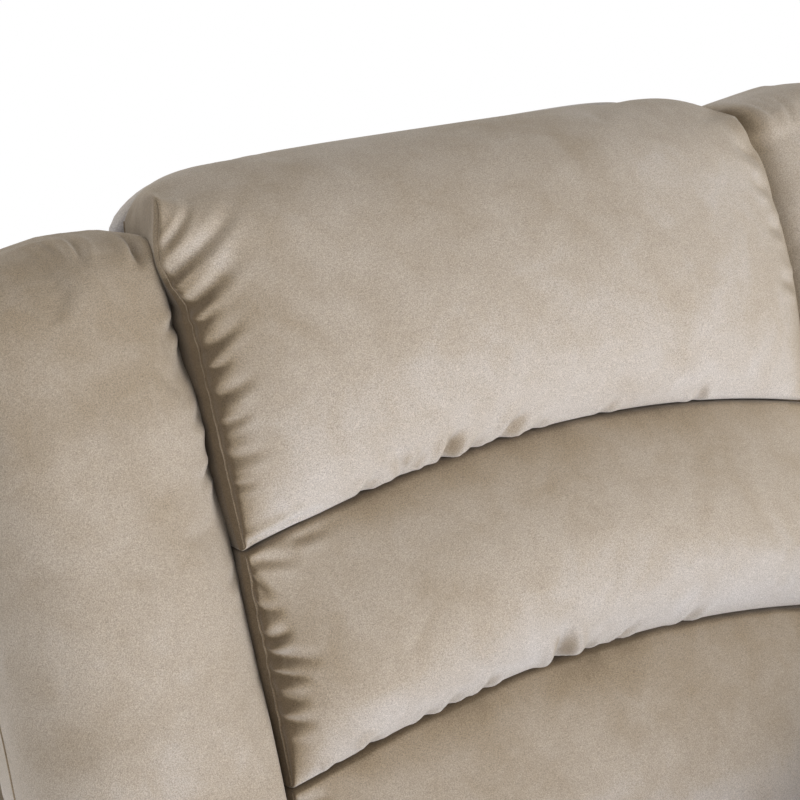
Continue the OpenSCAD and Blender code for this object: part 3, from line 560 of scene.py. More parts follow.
# %% The form of a tier
ROLL_DEEP, ROLL_HIGH, ROLL_LOST = 0.62, 0.17, 0.62
ARCH_LOST_LEFT, ARCH_LOST_RIGHT = 0.95, 0.60
SEAM_GAP = 0.0005
OVERHANG = 0.008
SLACK_PLACE, SLACK_SPREAD, SLACK_IN, SLACK_SIDE = 0.80, 0.11, 0.008, 0.0035
WAIST_PLACE, WAIST_SPREAD, WAIST_SHARE = 0.92, 0.07, 0.45


def rolled(a, c, t):
    """Rolls the front's top edge backwards, less and less towards the sewn corners."""
    deep, high = (share * (1 - ROLL_LOST * np.abs(a) ** 10) for share in (ROLL_DEEP, ROLL_HIGH))
    core_c, core_t = np.minimum(c, 1 - deep), np.minimum(t, 1 - high)
    out_c, out_t = (c - core_c) / deep, (t - core_t) / high
    far = np.maximum(np.hypot(out_c, out_t), 1)
    return core_c + out_c / far * deep, core_t + out_t / far * high


def tier_form(cube, low, arches, crown, dome=0.0, top_power=2.0, swell=0.0, slant=0.0):
    """a runs across, c from the rear to the front and t from the foot to the head."""
    a, c, t = cube[:, 0], (1 - cube[:, 1]) / 2, (cube[:, 2] + 1) / 2
    across = 0.5 * a + 0.5 * np.sin(a * math.pi / 2)
    peak = np.abs(across) ** top_power
    if dome:
        c, t = rolled(a, c, t)
        peak = peak * (1 - np.where(a < 0, ARCH_LOST_LEFT, ARCH_LOST_RIGHT) * c ** 0.8)
    full = np.sqrt(np.clip(1 - np.abs(across) ** 3, 0, 1))
    low_u = SEAM_HEIGHTS[low] + arches[0] * (1 - across ** 2) + SEAM_GAP
    high_u = SEAM_HEIGHTS[low + 1] + arches[1] * (1 - peak) - SEAM_GAP
    up = low_u + (high_u - low_u) * t + dome * full * np.sin(math.pi * c) * t ** 6
    front = (SEAM_DEPTHS[low] + (SEAM_DEPTHS[low + 1] - SEAM_DEPTHS[low]) * t
             + full * (crown * np.sin(math.pi * t ** 0.75) + OVERHANG))
    left, right = (np.clip(side * across, 0, 1) ** 6 for side in (-1, 1))
    slack = np.exp(-((t - SLACK_PLACE) / SLACK_SPREAD) ** 2) * left * (swell > 0)
    front = front - SLACK_IN * slack
    depth = PILLOW_REAR + (front - PILLOW_REAR) * c
    drawn_in = BOXING_DRAWN_IN * np.sqrt(1 - c) * across
    waist = WAIST_SHARE * swell * right * np.exp(-((t - WAIST_PLACE) / WAIST_SPREAD) ** 2)
    hollow = 0.5 * swell * left * step(0.66, 0.82, t) * (1 - 0.5 * step(0.86, 1.0, t))
    fuller = c * (swell * right * np.sin(0.8 * math.pi * t) - SLACK_SIDE * slack - waist - hollow)
    up = up - slant * across * t ** 6
    return np.stack([across * PILLOW_HALF - drawn_in + fuller, -depth, up], axis=1)

# %% [markdown]
# For the cloth each tier needs two sets of weights. Held points stay where they are: the rear, the
# seam at the foot and, less firmly, the rear corners of the boxing. Gathered points get more cloth
# than the seam has room for, which is what makes the puckers. The head pillow's top is free.

# %% What the cloth holds
def tier_cloth(cube, soft_top):
    a, b, t = cube[:, 0], cube[:, 1], cube[:, 2]
    held = np.zeros(len(cube))
    held[(np.abs(a) > EDGE) & (b < -EDGE)] = 0.6
    held[(b > EDGE) | (t < -EDGE)] = 1
    if not soft_top:
        held[t > EDGE] = 1
    near_side = step(0.80, 1.0, np.abs(a))
    near_foot = 1 - step(-1.0, -0.72, t)
    near_head = 0 if soft_top else step(0.86, 1.0, t) * 0.5
    return held, np.maximum.reduce([near_side, near_foot, near_head + 0 * a]) * (b < 0.9)

# %% [markdown]
# The three tiers go through the same hands: form, filling, creases, sewing, painted shade, leaning
# back. The boxing strip at the sides lies in the shade of the wings, so shade is painted on it,
# deeper away from its front edge. Shade is also painted on the front near the side seams and on
# the lower tiers' tops under the overhang of the tier above. Four ridges run along each tier's
# upright seams.

# %% The tiers' making
TIER_COUNTS = (124, 12)
TIER_TRAVEL, TIER_GATHER, TIER_FILL = 0.014, 0.10, 0.75
TIER_GROOVE = (0.0026, 0.0018)
# Painted shade on the boxing in the gaps, near the side seams and under the tier above.
BOXING_SHADE, BOXING_INNER_SHADE, BOXING_TOP_SHARE = 0.46, 0.16, 0.56
RIM_SHADE, OVERHANG_SHADE = 0.11, 0.08
GAP_ACROSS, GAP_DEEP = 0.16, 0.075
SIDES = ((-1, "left"), (1, "right"))


def tier_shade(panel, soft_top):
    # Painted shade in the gaps beside the wings, less near the top of the head pillow, and on the
    # lower tiers' tops under the overhang above.
    boxing_shade = BOXING_SHADE + BOXING_INNER_SHADE * step(-1.05, -0.45, panel[:, 1])
    rim_shade = RIM_SHADE * step(0.84, 1.0, np.abs(panel[:, 0]))
    if soft_top:
        return boxing_shade * (1 - BOXING_TOP_SHARE * step(0.35, 0.70, panel[:, 2])), rim_shade
    return boxing_shade, rim_shade + OVERHANG_SHADE * step(0.62, 1.0, panel[:, 2])


def tier(node, low, arches, crown, high, furrows, strength=FACING_SHADE, **form):
    piece, cube = start_cover(node + "_cover", (*TIER_COUNTS, high))
    move_to(piece, tier_form(cube, low, arches, crown, **form))
    fill_cover(piece, *tier_cloth(cube, "dome" in form), TIER_TRAVEL, TIER_GATHER)
    crease(piece, furrows)
    panel = panel_of(piece)
    sew(piece, (1 - np.abs(panel[:, 0])) * GAP_ACROSS + (panel[:, 1] + 1) * GAP_DEEP,
        *TIER_GROOVE)
    boxing_shade, rim_shade = tier_shade(panel, "dome" in form)
    # Paints shade by facing, on the boxing in the gaps and near the side seams.
    paint_shade(piece, strength, sides=boxing_shade, deeper=rim_shade)
    lean_back(piece)
    finish_piece(piece, "backrest", node)
    for side, word in SIDES:
        for edge, place in ((-1, "front"), (1, "rear")):
            seam_ridge(f"{node}_seam_{word}_{place}", piece, cube,
                       (np.abs(cube[:, 0] - side) < 1e-4) & (np.abs(cube[:, 1] - edge) < 1e-4))

# %% [markdown]
# Every crease of the head and middle pillows is listed, because they differ as hand-sewn gathers
# do. Long ones stand where the filling pulls hardest: at the upper left corner and along the foot.

# %% The three tiers
ARCH, TOP_ARCH = 0.037, 0.030
TIER_CROWNS = (0.052, 0.052, 0.050)
HEAD_FURROWS = furrow_table([
    (-2730, 6450, -2400, 6800, 30, 30), (-2760, 6220, -2060, 6740, 50, 44),
    (-2760, 6080, -2400, 6360, 24, 22), (-2750, 5960, -2220, 6360, 52, 42),
    (-2720, 5830, -2460, 6010, 24, 20), (-2700, 5660, -2340, 5900, 40, 28),
    (-2690, 5510, -2500, 5610, 24, 18), (-2680, 5320, -2380, 5490, 44, 30),
    (-2680, 5120, -2460, 5220, 26, 20), (-2690, 4880, -2400, 4940, 44, 24),
    (-2690, 4680, -2500, 4710, 28, 16), (-2620, 4240, -1960, 4430, 45, 70),
    (-1710, 4410, -1600, 4580, 50, 42), (-1360, 4500, -1530, 4810, 60, 26),
    (-1290, 4520, -1230, 4700, 40, 36), (-990, 4520, -920, 4820, 60, 80),
    (-720, 4540, -700, 4700, 40, 28), (-460, 4560, -280, 4840, 60, 66),
    (-140, 4570, -80, 4720, 50, 26), (520, 4550, 600, 4720, 50, 28),
    (1500, 4440, 1400, 4660, 50, 30), (2700, 6300, 2360, 6500, 80, 34),
    (2700, 6000, 2460, 6120, 60, 28), (2700, 5660, 2440, 5740, 60, 28),
    (2700, 5200, 2400, 5320, 60, 28)])
MIDDLE_FURROWS = furrow_table([
    (-2710, 4010, -2580, 3860, 40, 34), (-2700, 3780, -2520, 3740, 40, 30),
    (-2690, 3550, -2500, 3640, 40, 38), (-2680, 3440, -2360, 3370, 50, 50),
    (-2680, 3310, -2460, 3270, 40, 40), (-2680, 3120, -2500, 3080, 50, 26),
    (-2680, 2960, -2480, 2910, 50, 34), (-2620, 4130, -2300, 4080, 40, 30),
    (-2320, 4230, -1980, 4260, 40, 24), (-340, 2790, -500, 3220, 70, 78),
    (180, 2780, 360, 3020, 50, 44), (-90, 2790, -120, 3000, 40, 30),
    (-1070, 2730, -1000, 3000, 50, 42), (-1390, 2680, -1310, 2940, 50, 34),
    (-1600, 2640, -1520, 2860, 50, 30), (-2090, 2560, -1950, 2720, 60, 50),
    (-2410, 2460, -2280, 2540, 50, 40), (900, 2750, 960, 3000, 60, 36),
    (2700, 3600, 2440, 3660, 50, 30), (2690, 3360, 2400, 3420, 60, 36),
    (2690, 3050, 2460, 3080, 50, 28)])
LOWER_FURROWS = [((side * 0.269, u), (side * 0.238, u + rise), 0.006, 0.0034)
                 for side, _ in SIDES
                 for u, rise in ((0.228, 0.004), (0.204, 0.006), (0.172, -0.004), (0.140, 0.008))]
# strength sets how much shade each tier is painted by its facing. The lower tier gets the most,
# under the middle pillow's overhang.
tier("lower_pillow", 0, (0, ARCH), TIER_CROWNS[0], 44, LOWER_FURROWS,
     strength=0.44)
tier("middle_pillow", 1, (ARCH, ARCH), TIER_CROWNS[1], 42, MIDDLE_FURROWS)
tier("head_pillow", 2, (ARCH, TOP_ARCH), TIER_CROWNS[2], 54, HEAD_FURROWS,
     strength=0.20, dome=0.014, top_power=16.0, swell=0.016, slant=0.004)

# %% [markdown]
# A wing is a long bolster beside the pillows: nearly flat in front, with a round outer shoulder,
# a tighter inner edge and a gathered top. It is a box whose edges are rounded by pulling every
# point of its rim towards a smaller core, with a different radius on each side.

# %% The form of a wing
WING_INNERS = {-1: 0.2692, 1: 0.2745}
WING_OUTER = 0.4465
WING_SHOULDERS = {-1: 0.011, 1: 0.036}
WING_OUTER_ROUND, WING_FRONT_ROUND, WING_REAR_ROUND = 0.058, 0.40, 0.02
WING_TOPS = {-1: 0.658, 1: 0.678}
WING_LOW = 0.25
WING_LEVELS = (0.245, 0.315, 0.346, 0.413, 0.454, 0.525, 0.590, 0.648)
WING_EDGES = (0.188, 0.180, 0.170, 0.158, 0.149, 0.139, 0.116, 0.090)
WING_FOOT = 0.6425
WING_REAR = -0.0012
FRONT_SLOPE, FRONT_CROWN, RIGHT_SET_BACK = 0.014, 0.003, 0.040
REAR_TUCK, REAR_TUCK_FROM = 0.022, 0.42
LEFT_DROPS, RIGHT_DROP = (0.014, 0.006, 0.004), 0.012


def rounded(value, low, high, low_round, high_round):
    core = np.clip(value, low + low_round, high - high_round)
    return core, np.maximum(np.where(value < core, low_round, high_round), 1e-6)


def wing_form(cube, side):
    a, c, t = cube[:, 0], (1 - cube[:, 1]) / 2, (cube[:, 2] + 1) / 2
    centre, half = (WING_INNERS[side] + WING_OUTER) / 2, (WING_OUTER - WING_INNERS[side]) / 2
    raw = np.stack([a * half, c, t], axis=1)
    cores, radii = [], []
    top_round = 0.055 + 0.05 * step(-0.9, 0.2, a)
    for axis, ends in enumerate(((-half, half, WING_SHOULDERS[side], WING_OUTER_ROUND),
                                 (0, 1, WING_REAR_ROUND, WING_FRONT_ROUND),
                                 (0, 1, 0.0, top_round))):
        core, radius = rounded(raw[:, axis], *ends)
        cores.append(core)
        radii.append(radius)
    core, radius = np.stack(cores, axis=1), np.stack(radii, axis=1)
    out = (raw - core) / radius
    out /= np.maximum(np.linalg.norm(out, axis=1, keepdims=True), 1)
    x, c, t = (core + out * radius).T
    top = WING_TOPS[side]
    front = np.interp(WING_LOW + (top - WING_LOW) * t, WING_LEVELS, WING_EDGES)
    front = front - FRONT_SLOPE * step(-0.3, 1.0, x / half) * c + FRONT_CROWN * (
        1 - (x / half) ** 2)
    if side > 0:
        front = front - RIGHT_SET_BACK * (1 - step(-1.0, -0.45, x / half))
    depth = WING_REAR + (front - WING_REAR) * c
    foot = (WING_FOOT - BACK_FOOT[2] - depth * math.sin(LEAN)) / math.cos(LEAN)
    outer = step(0.0, 1.0, x / half)
    x = x - REAR_TUCK * np.clip(1 - c / REAR_TUCK_FROM, 0, 1) ** 2 * outer
    if side < 0:
        inner = 1 - step(-1.0, -0.1, x / half)
        shares = (outer, step(-0.35, 0.05, x / half), inner)
        drop = sum(height * share for height, share in zip(LEFT_DROPS, shares))
    else:
        drop = RIGHT_DROP * (1 - step(-1.0, 0.6, x / half))
    top = top - drop
    return np.stack([side * (centre + x), -depth, foot + (top - foot) * t], axis=1)

# %% [markdown]
# A wing is sewn at its rear and its foot, and a seam runs up its outer side. The cover is gathered
# at the top and along the pillows. The left wing's front catches the light and the right one's
# inner edge lies deep in the gap beside the pillows, so each wing gets painted light and shade of
# its own. The right one is painted paler, with less shade by facing. Both are painted darker
# towards the top, and a shadow is painted in the right one's gap.

# %% The wings
WING_FILL, WING_TRAVEL = 0.8, 0.010
# Painted light and shade of each wing: a tone, a shade by facing, a shade towards the top and a
# shadow in the gap.
WING_TONES_AND_SHADES = {-1: {"base": 0.07, "strength": 0.22}, 1: {"base": 0.20, "strength": 0.06}}
WING_TOP_SHADE = {-1: 0.05, 1: 0.10}
WING_GAP_SHADE = {-1: 0.0, 1: 0.40}
WING_PLEATS = {-1: 1.0, 1: 0.3}


def wing(node, name, side, furrows):
    piece, cube = start_cover(name, (36, 26, 84))
    move_to(piece, wing_form(cube, side))
    if side < 0:
        piece.data.flip_normals()
    held = ((cube[:, 1] > EDGE) | (cube[:, 2] < -EDGE)).astype(float)
    held[(cube[:, 0] > EDGE) & (np.abs(cube[:, 1] - 0.2) < 0.05)] = 0.5
    gathered = np.maximum(step(0.72, 1.0, cube[:, 2]), (1 - step(-1.0, -0.6, cube[:, 0])) * 0.6)
    fill_cover(piece, held, gathered, WING_TRAVEL)
    crease(piece, furrows)
    panel = panel_of(piece)
    # The gap beside the pillows gets a painted shadow on the right wing.
    in_gap = 1 - step(-0.85, -0.42, panel[:, 0])
    paint_shade(piece, **WING_TONES_AND_SHADES[side],
         deeper=WING_TOP_SHADE[side] * panel[:, 2] + WING_GAP_SHADE[side] * in_gap)
    lean_back(piece)
    finish_piece(piece, "backrest", node)
    middle_row = cube[np.argmin(np.abs(cube[:, 1])), 1]
    seam_ridge(node + "_seam_outer", piece, cube,
               (cube[:, 0] > EDGE) & (np.abs(cube[:, 1] - middle_row) < 1e-4))


def wing_furrows(side):
    pleat = WING_PLEATS[side]
    rows = ((3460, 6680, 3370, 6380, 35, 50 * pleat), (3210, 6680, 3340, 6340, 40, 60 * pleat),
            (2850, 6520, 2920, 6280, 45, 85), (2740, 5860, 2940, 5800, 50, 34),
            (2740, 5200, 2920, 5160, 60, 26), (2740, 4800, 2940, 4740, 50, 28),
            (2740, 4000, 2900, 4020, 60, 24), (4000, 6600, 3920, 6300, 80, 30))
    return furrow_table(np.array(rows) * (side, 1, side, 1, 1, 1))


for side, word in SIDES:
    wing(f"wing_{word}", f"{word}_wing_cover", side, wing_furrows(side))

# %% [markdown]
# Behind the pillows stands a board that is covered on its own: the outside back. Like every other
# upholstered board of this chair it is a box with rounded rims. One helper shapes them all. It
# keeps a core box and pulls the rim of the gridded cube onto a round of the radius that is given
# for each of the six sides, and a crown then lifts the middle of a face.


def soft_box(cube, low, high, near, far):
    low, high, near, far = (np.array(values, float) for values in (low, high, near, far))
    raw = low + (high - low) * (cube + 1) / 2
    core = np.clip(raw, low + near, high - far)
    radius = np.maximum(np.where(raw < core, near, far), 1e-6)
    out = (raw - core) / radius
    out /= np.maximum(np.linalg.norm(out, axis=1, keepdims=True), 1)
    return core + out * radius


def crown(coords, cube, axis, side, height, power=3):
    """Lifts the face on that side of the axis by height in its middle."""
    share = np.clip(side * cube[:, axis], 0, 1)
    for other in range(3):
        if other != axis:
            share = share * (1 - np.abs(cube[:, other]) ** power)
    lifted = coords.copy()
    lifted[:, axis] += side * height * share
    return lifted


def covered_board(name, counts, low, high, near, far, crowns, node, body="carriage",
                  furrows=()):
    piece, cube = start_cover(name, counts)
    coords = soft_box(cube, low, high, near, far)
    for axis, side, height in crowns:
        coords = crown(coords, cube, axis, side, height)
    move_to(piece, coords)
    crease(piece, furrows)
    paint_shade(piece)
    if body == "backrest":
        lean_back(piece)
    finish_piece(piece, body, node)

# %% [markdown]
# The outside back is wide behind the wings and narrow below them, where it runs down between the
# arms. Two boards make that shape, and both stand for the one covered board of the skeleton.

# %% The outside back
BACK_TOP, BACK_SPLIT = 0.6475, 0.2725
BACK_FRONT, BACK_REAR = 0.0123, 0.0283
BACK_HALF, TAIL_HALF = 0.4465, 0.243
covered_board("outside_back_cover", (70, 4, 34), (-BACK_HALF, BACK_FRONT, BACK_SPLIT + SEAM_GAP),
              (BACK_HALF, BACK_REAR, BACK_TOP), (0.04, 0.006, 0.006), (0.04, 0.008, 0.04),
              [(1, 1, 0.004)], "outside_back", "backrest")
covered_board("outside_back_tail", (40, 4, 24), (-TAIL_HALF, BACK_FRONT, 0.0262),
              (TAIL_HALF, BACK_REAR, BACK_SPLIT), (0.006,) * 3, (0.006, 0.008, 0.002),
              [(1, 1, 0.002)], "outside_back", "backrest")

# %% [markdown]
# Between the outside back and the soft front run two more strips: a band over the top rail of the
# frame, behind the head pillow, and a narrow side strip behind each wing that hides the ply edge.

# %% The band over the top and the side strips
BAND_HALF, BAND_RISE, BAND_NAP, BAND_FILL = 0.2690, 0.004, 0.45, 0.9
STRIP_IN, STRIP_OUT = 0.4215, 0.4462


def mirrored(side, first, last):
    """The lower and the higher x of two distances from the middle, on either side."""
    return (first, last) if side > 0 else (-last, -first)


piece, cube = start_cover("back_top_band", (80, 6, 6))
coords = soft_box(cube, (-BAND_HALF, -0.0096, 0.6342), (BAND_HALF, 0.0118, 0.6542),
                  (0.004, 0.008, 0.002), (0.004, 0.008, 0.008))
rise = (TOP_ARCH + BAND_RISE) * (1 - np.abs(coords[:, 0] / BAND_HALF) ** 10)
coords[:, 2] += rise * (cube[:, 2] + 1) / 2
move_to(piece, coords)
paint_shade(piece, base=BAND_NAP)
lean_back(piece)
finish_piece(piece, "backrest")
for side, word in SIDES:
    x0, x1 = mirrored(side, STRIP_IN, STRIP_OUT)
    covered_board(f"{word}_side_strip", (6, 4, 50), (x0, -0.0030, BACK_SPLIT + 0.003),
                  (x1, 0.0120, 0.6250), (0.004,) * 3, (0.004,) * 3, [], None, "backrest")

# %% [markdown]
# The seat cushion is a box cushion with a full, round nose that hangs over the legrest. It is
# blown up a little like the tiers of the back, and its top panel is gathered at the side seams.

# %% The seat cushion
PAD_FILL, PAD_HALF, PAD_SEAM = 0.85, 0.27, 0.02
SEAT_CROWN, SEAT_REAR_LIFT, SEAT_NOSE, SEAT_TRAVEL = 0.024, 0.024, 0.004, 0.009
TOP_PLANE, TOP_FACING = (0, 1), (0, 0, 1)


def seat_form(cube):
    coords = soft_box(cube, (-0.271, -0.444, 0.3526), (0.271, 0.0755, 0.4660),
                      (0.014, 0.056, 0.012), (0.014, 0.016, 0.040))
    coords = crown(coords, cube, 2, 1, SEAT_CROWN, 4)
    rear = step(0.1, 0.9, cube[:, 1]) * (1 - np.abs(cube[:, 0]) ** 4) * np.clip(cube[:, 2], 0, 1)
    coords[:, 2] += SEAT_REAR_LIFT * rear * np.abs(cube[:, 1]) ** 4
    return crown(coords, cube, 1, -1, SEAT_NOSE)


piece, cube = start_cover("seat_cushion_cover", (60, 56, 14))
move_to(piece, seat_form(cube))
held = (cube[:, 2] < -EDGE).astype(float)
held[(np.abs(cube[:, 0]) > EDGE)] = 0.8
gathered = step(0.82, 1.0, np.abs(cube[:, 0])) * (cube[:, 2] > -0.9)
fill_cover(piece, held, gathered, SEAT_TRAVEL)
furrows = [((side * 0.268, y), (side * 0.225, y + lean), 0.008, 0.003)
           for side, _ in SIDES
           for y, lean in ((-0.40, 0.02), (-0.33, 0.01), (-0.24, -0.01), (-0.16, 0.012))]
crease(piece, furrows, TOP_PLANE, TOP_FACING)
panel = panel_of(piece)
sew(piece, (1 - np.abs(panel[:, 0])) * PAD_HALF + (1 - panel[:, 2]) * PAD_SEAM)
paint_shade(piece)
finish_piece(piece, "carriage", "seat_cushion")

# %% [markdown]
# When the back reclines, the foot of the lower pillow leaves the seat, and on a real chair a
# lining keeps the sitter's things out of the steelwork. It is a strip of velvet with some slack:
# one end is tacked behind the seat cushion, the other under the pillow.

# %% The lining behind the seat
LINING_HALF = 0.262
LINING_FOOT, LINING_HEAD = (0.086, 0.3560), (0.092, 0.4660)
LINING_SLACK, LINING_CLOTH = 0.030, 0.0016

bm = bmesh.new()
bmesh.ops.create_grid(bm, x_segments=36, y_segments=20, size=1)
piece = velvet_piece(bm, "seat_lining")
flat = coords_of(piece)
t = (flat[:, 1] + 1) / 2
sag = LINING_SLACK * np.sin(math.pi * t) * (1 - 0.25 * np.abs(flat[:, 0]) ** 4)
(y0, z0), (y1, z1) = LINING_FOOT, LINING_HEAD
move_to(piece, np.stack([flat[:, 0] * LINING_HALF, y0 + (y1 - y0) * t + sag,
                         z0 + (z1 - z0) * t - 0.3 * sag], axis=1))
thick = piece.modifiers.new("Thick", "SOLIDIFY")
thick.thickness = LINING_CLOTH
apply_modifiers(piece)
paint_shade(piece)
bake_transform(piece)
print(piece.name, "hangs between carriage and backrest")

# %% [markdown]
# Each arm is a box of four covered boards under a thick pad. The boards' covers are drawn tight,
# so a crown of a few millimetres is enough. The front board is the one a visitor sees first: it is
# fuller, and a welt, a cord sewn into a strip of the same velvet, runs round its edge.

# %% The arms' covered boards
ARM_IN, ARM_OUT = 0.273, 0.449
ARM_CENTRE = (ARM_IN + ARM_OUT) / 2
ARM_FRONT, ARM_REAR = -0.440, 0.340
ARM_LOW, ARM_HIGH = 0.055, 0.604
BOARD = 0.016
FRONT_GATHERS = ((0.602, -0.05, (-0.06, -0.035, -0.006, 0.03, 0.062)),
                 (0.058, 0.04, (-0.05, -0.01, 0.024, 0.058)))


def arm_board(part, side, word, reach, front, rear, counts, near, far, crowns=(), furrows=()):
    x0, x1 = mirrored(side, *reach)
    covered_board(f"arm_{part}_cover_{word}", counts, (x0, front, ARM_LOW), (x1, rear, ARM_HIGH),
                  near, far, crowns, f"arm_{part}_panels", furrows=furrows)


for side, word in SIDES:
    arm_board("outer", side, word, (ARM_OUT - BOARD, ARM_OUT), ARM_FRONT + BOARD,
              ARM_REAR - BOARD, (3, 44, 36), (0.005, 0.004, 0.006), (0.005, 0.004, 0.006),
              [(0, side, 0.003)])
    arm_board("inner", side, word, (ARM_IN, ARM_IN + BOARD), ARM_FRONT + BOARD,
              ARM_REAR - BOARD, (3, 44, 36), (0.004,) * 3, (0.004,) * 3)
    furrows = [((side * (ARM_CENTRE + x), z), (side * (ARM_CENTRE + x * 0.8), z + run),
                0.007, 0.0032) for z, run, places in FRONT_GATHERS for x in places]
    arm_board("front", side, word, (ARM_IN, ARM_OUT), ARM_FRONT + 0.002, ARM_FRONT + BOARD,
              (40, 6, 96), (0.014, 0.013, 0.014), (0.014, 0.003, 0.014), [(1, -1, 0.012)],
              furrows)
    arm_board("rear", side, word, (ARM_IN, ARM_OUT), ARM_REAR - BOARD, ARM_REAR, (16, 4, 40),
              (0.006, 0.003, 0.006), (0.006,) * 3)
    x0, x1 = mirrored(side, ARM_IN + 0.001, ARM_OUT - 0.001)
    covered_board(f"arm_top_cover_{word}", (16, 12, 3), (x0, 0.2235, ARM_HIGH + 0.0005),
                  (x1, ARM_REAR - 0.001, ARM_HIGH + 0.0070), (0.006, 0.003, 0.001),
                  (0.006, 0.006, 0.005), [], None)

# %% [markdown]
# A welt is a thicker thread that follows a rounded rectangle. Each corner is rounded by blending
# between the two straight sides that meet there.

# %% Welts
WELT_RADIUS, WELT_TURN, WELT_NAP = 0.0034, 0.014, 0.22
WELT_SET_IN = 0.004
TURN_PARTS = 6


def welt(name, corners):
    points = []
    count = len(corners)
    for index, here in enumerate(corners):
        here = Vector(here)
        before, after = Vector(corners[index - 1]), Vector(corners[(index + 1) % count])
        start = here + (before - here).normalized() * WELT_TURN
        end = here + (after - here).normalized() * WELT_TURN
        for part in range(TURN_PARTS + 1):
            t = part / TURN_PARTS
            points.append(start.lerp(here, t).lerp(here.lerp(end, t), t))
    threaded(name, points, WELT_RADIUS, WELT_NAP, "carriage", cyclic=True)


for side, word in SIDES:
    x0, x1 = mirrored(side, ARM_IN + WELT_SET_IN, ARM_OUT - WELT_SET_IN)
    y, z0, z1 = ARM_FRONT + 0.0065, ARM_LOW + WELT_SET_IN, ARM_HIGH - WELT_SET_IN
    welt(f"arm_front_welt_{word}", [(x0, y, z0), (x1, y, z0), (x1, y, z1), (x0, y, z1)])

# %% [markdown]
# An arm pad lies on its arm like a long loaf: held underneath, gathered round its rim, and fullest
# in front of the wing, where the hand rests. Further back it stays low, so that the wing can swing
# over it when the back reclines.

# %% The arm pads
PAD_CROWN, PAD_LIFT, PAD_TRAVEL = 0.005, 0.011, 0.004


def arm_pad(name, node, side):
    piece, cube = start_cover(name, (24, 76, 8))
    x0, x1 = mirrored(side, 0.2738, 0.4510)
    coords = soft_box(cube, (x0, -0.4505, 0.6046), (x1, 0.2210, 0.6330),
                      (0.030, 0.040, 0.012), (0.030, 0.024, 0.022))
    coords = crown(coords, cube, 2, 1, PAD_CROWN, 4)
    clear_of_wing = 1 - step(-0.06, 0.09, coords[:, 1])
    coords[:, 2] += PAD_LIFT * clear_of_wing * np.clip(cube[:, 2], 0, 1) * (
        1 - np.abs(cube[:, 0]) ** 3)
    move_to(piece, coords)
    held = (cube[:, 2] < -EDGE).astype(float)
    gathered = step(0.80, 1.0, np.maximum(np.abs(cube[:, 0]), np.abs(cube[:, 1])))
    fill_cover(piece, held, gathered, PAD_TRAVEL, gather=0.08, pressure=3.0)
    centre = side * ARM_CENTRE
    furrows = [((centre + x, -0.440), (centre + x * 0.8, -0.395), 0.006, 0.003)
               for x in (-0.06, -0.032, -0.004, 0.028, 0.055)]
    furrows += [((centre + s * 0.084, y), (centre + s * 0.055, y + 0.006), 0.007, 0.0018)
                for s, _ in SIDES for y in (-0.36, -0.27, -0.15, -0.02, 0.09)]
    crease(piece, furrows, TOP_PLANE, TOP_FACING)
    paint_shade(piece)
    finish_piece(piece, "carriage", node)


for side, word in SIDES:
    arm_pad(f"arm_pad_cover_{word}", f"arm_pad_{word}", side)

# %% [markdown]
# The legrest's pad hangs under the seat's nose when the chair stands upright. It is a cushion on a
# covered board, and both ride on the legrest's body.

# %% The legrest pad
LEGREST_HALF, LEGREST_FILL, LEGREST_CROWN, LEGREST_TRAVEL = 0.2695, 0.8, 0.008, 0.007

piece, cube = start_cover("legrest_pad_cover", (60, 10, 34))
coords = soft_box(cube, (-LEGREST_HALF, -0.4325, 0.074), (LEGREST_HALF, -0.3856, 0.3535),
                  (0.016, 0.040, 0.036), (0.016, 0.004, 0.036))
move_to(piece, crown(coords, cube, 1, -1, LEGREST_CROWN))
held = (cube[:, 1] > EDGE).astype(float)
gathered = step(0.82, 1.0, np.maximum(np.abs(cube[:, 0]), np.abs(cube[:, 2]))) * (
    cube[:, 1] < 0.9)
fill_cover(piece, held, gathered, LEGREST_TRAVEL)
furrows = [((side * 0.266, z), (side * 0.225, z + 0.008), 0.008, 0.003)
           for side, _ in SIDES for z in (0.13, 0.18, 0.235, 0.29)]
crease(piece, furrows)
panel = panel_of(piece)
sew(piece, (1 - np.abs(panel[:, 0])) * PAD_HALF + (panel[:, 1] + 1) * PAD_SEAM)
paint_shade(piece)
finish_piece(piece, "legrest", "legrest_pad")
covered_board("legrest_board_cover", (60, 3, 32), (-0.2625, -0.3854, 0.0744),
              (0.2625, -0.3718, 0.3526), (0.004,) * 3, (0.004,) * 3, [],
              "legrest_board", "legrest")

# %% [markdown]
# A side pocket is a pouch of doubled velvet that is sewn to the outer board along its sides and
# its foot. It starts as the gridded cube without its top and without the side at the arm, it
# bellies a little, and a Solidify modifier gives the cloth its thickness.

# %% The side pockets
POCKET = ((0.4496, -0.3830, 0.4190), (0.4748, -0.1870, 0.5345))
POCKET_CLOTH, POCKET_BELLY = 0.0026, 0.0018
HEM_DROP, HEM_WIDTH, HEM_DEPTH, MOUTH_SAG = 0.016, 0.0016, 0.0014, 0.004


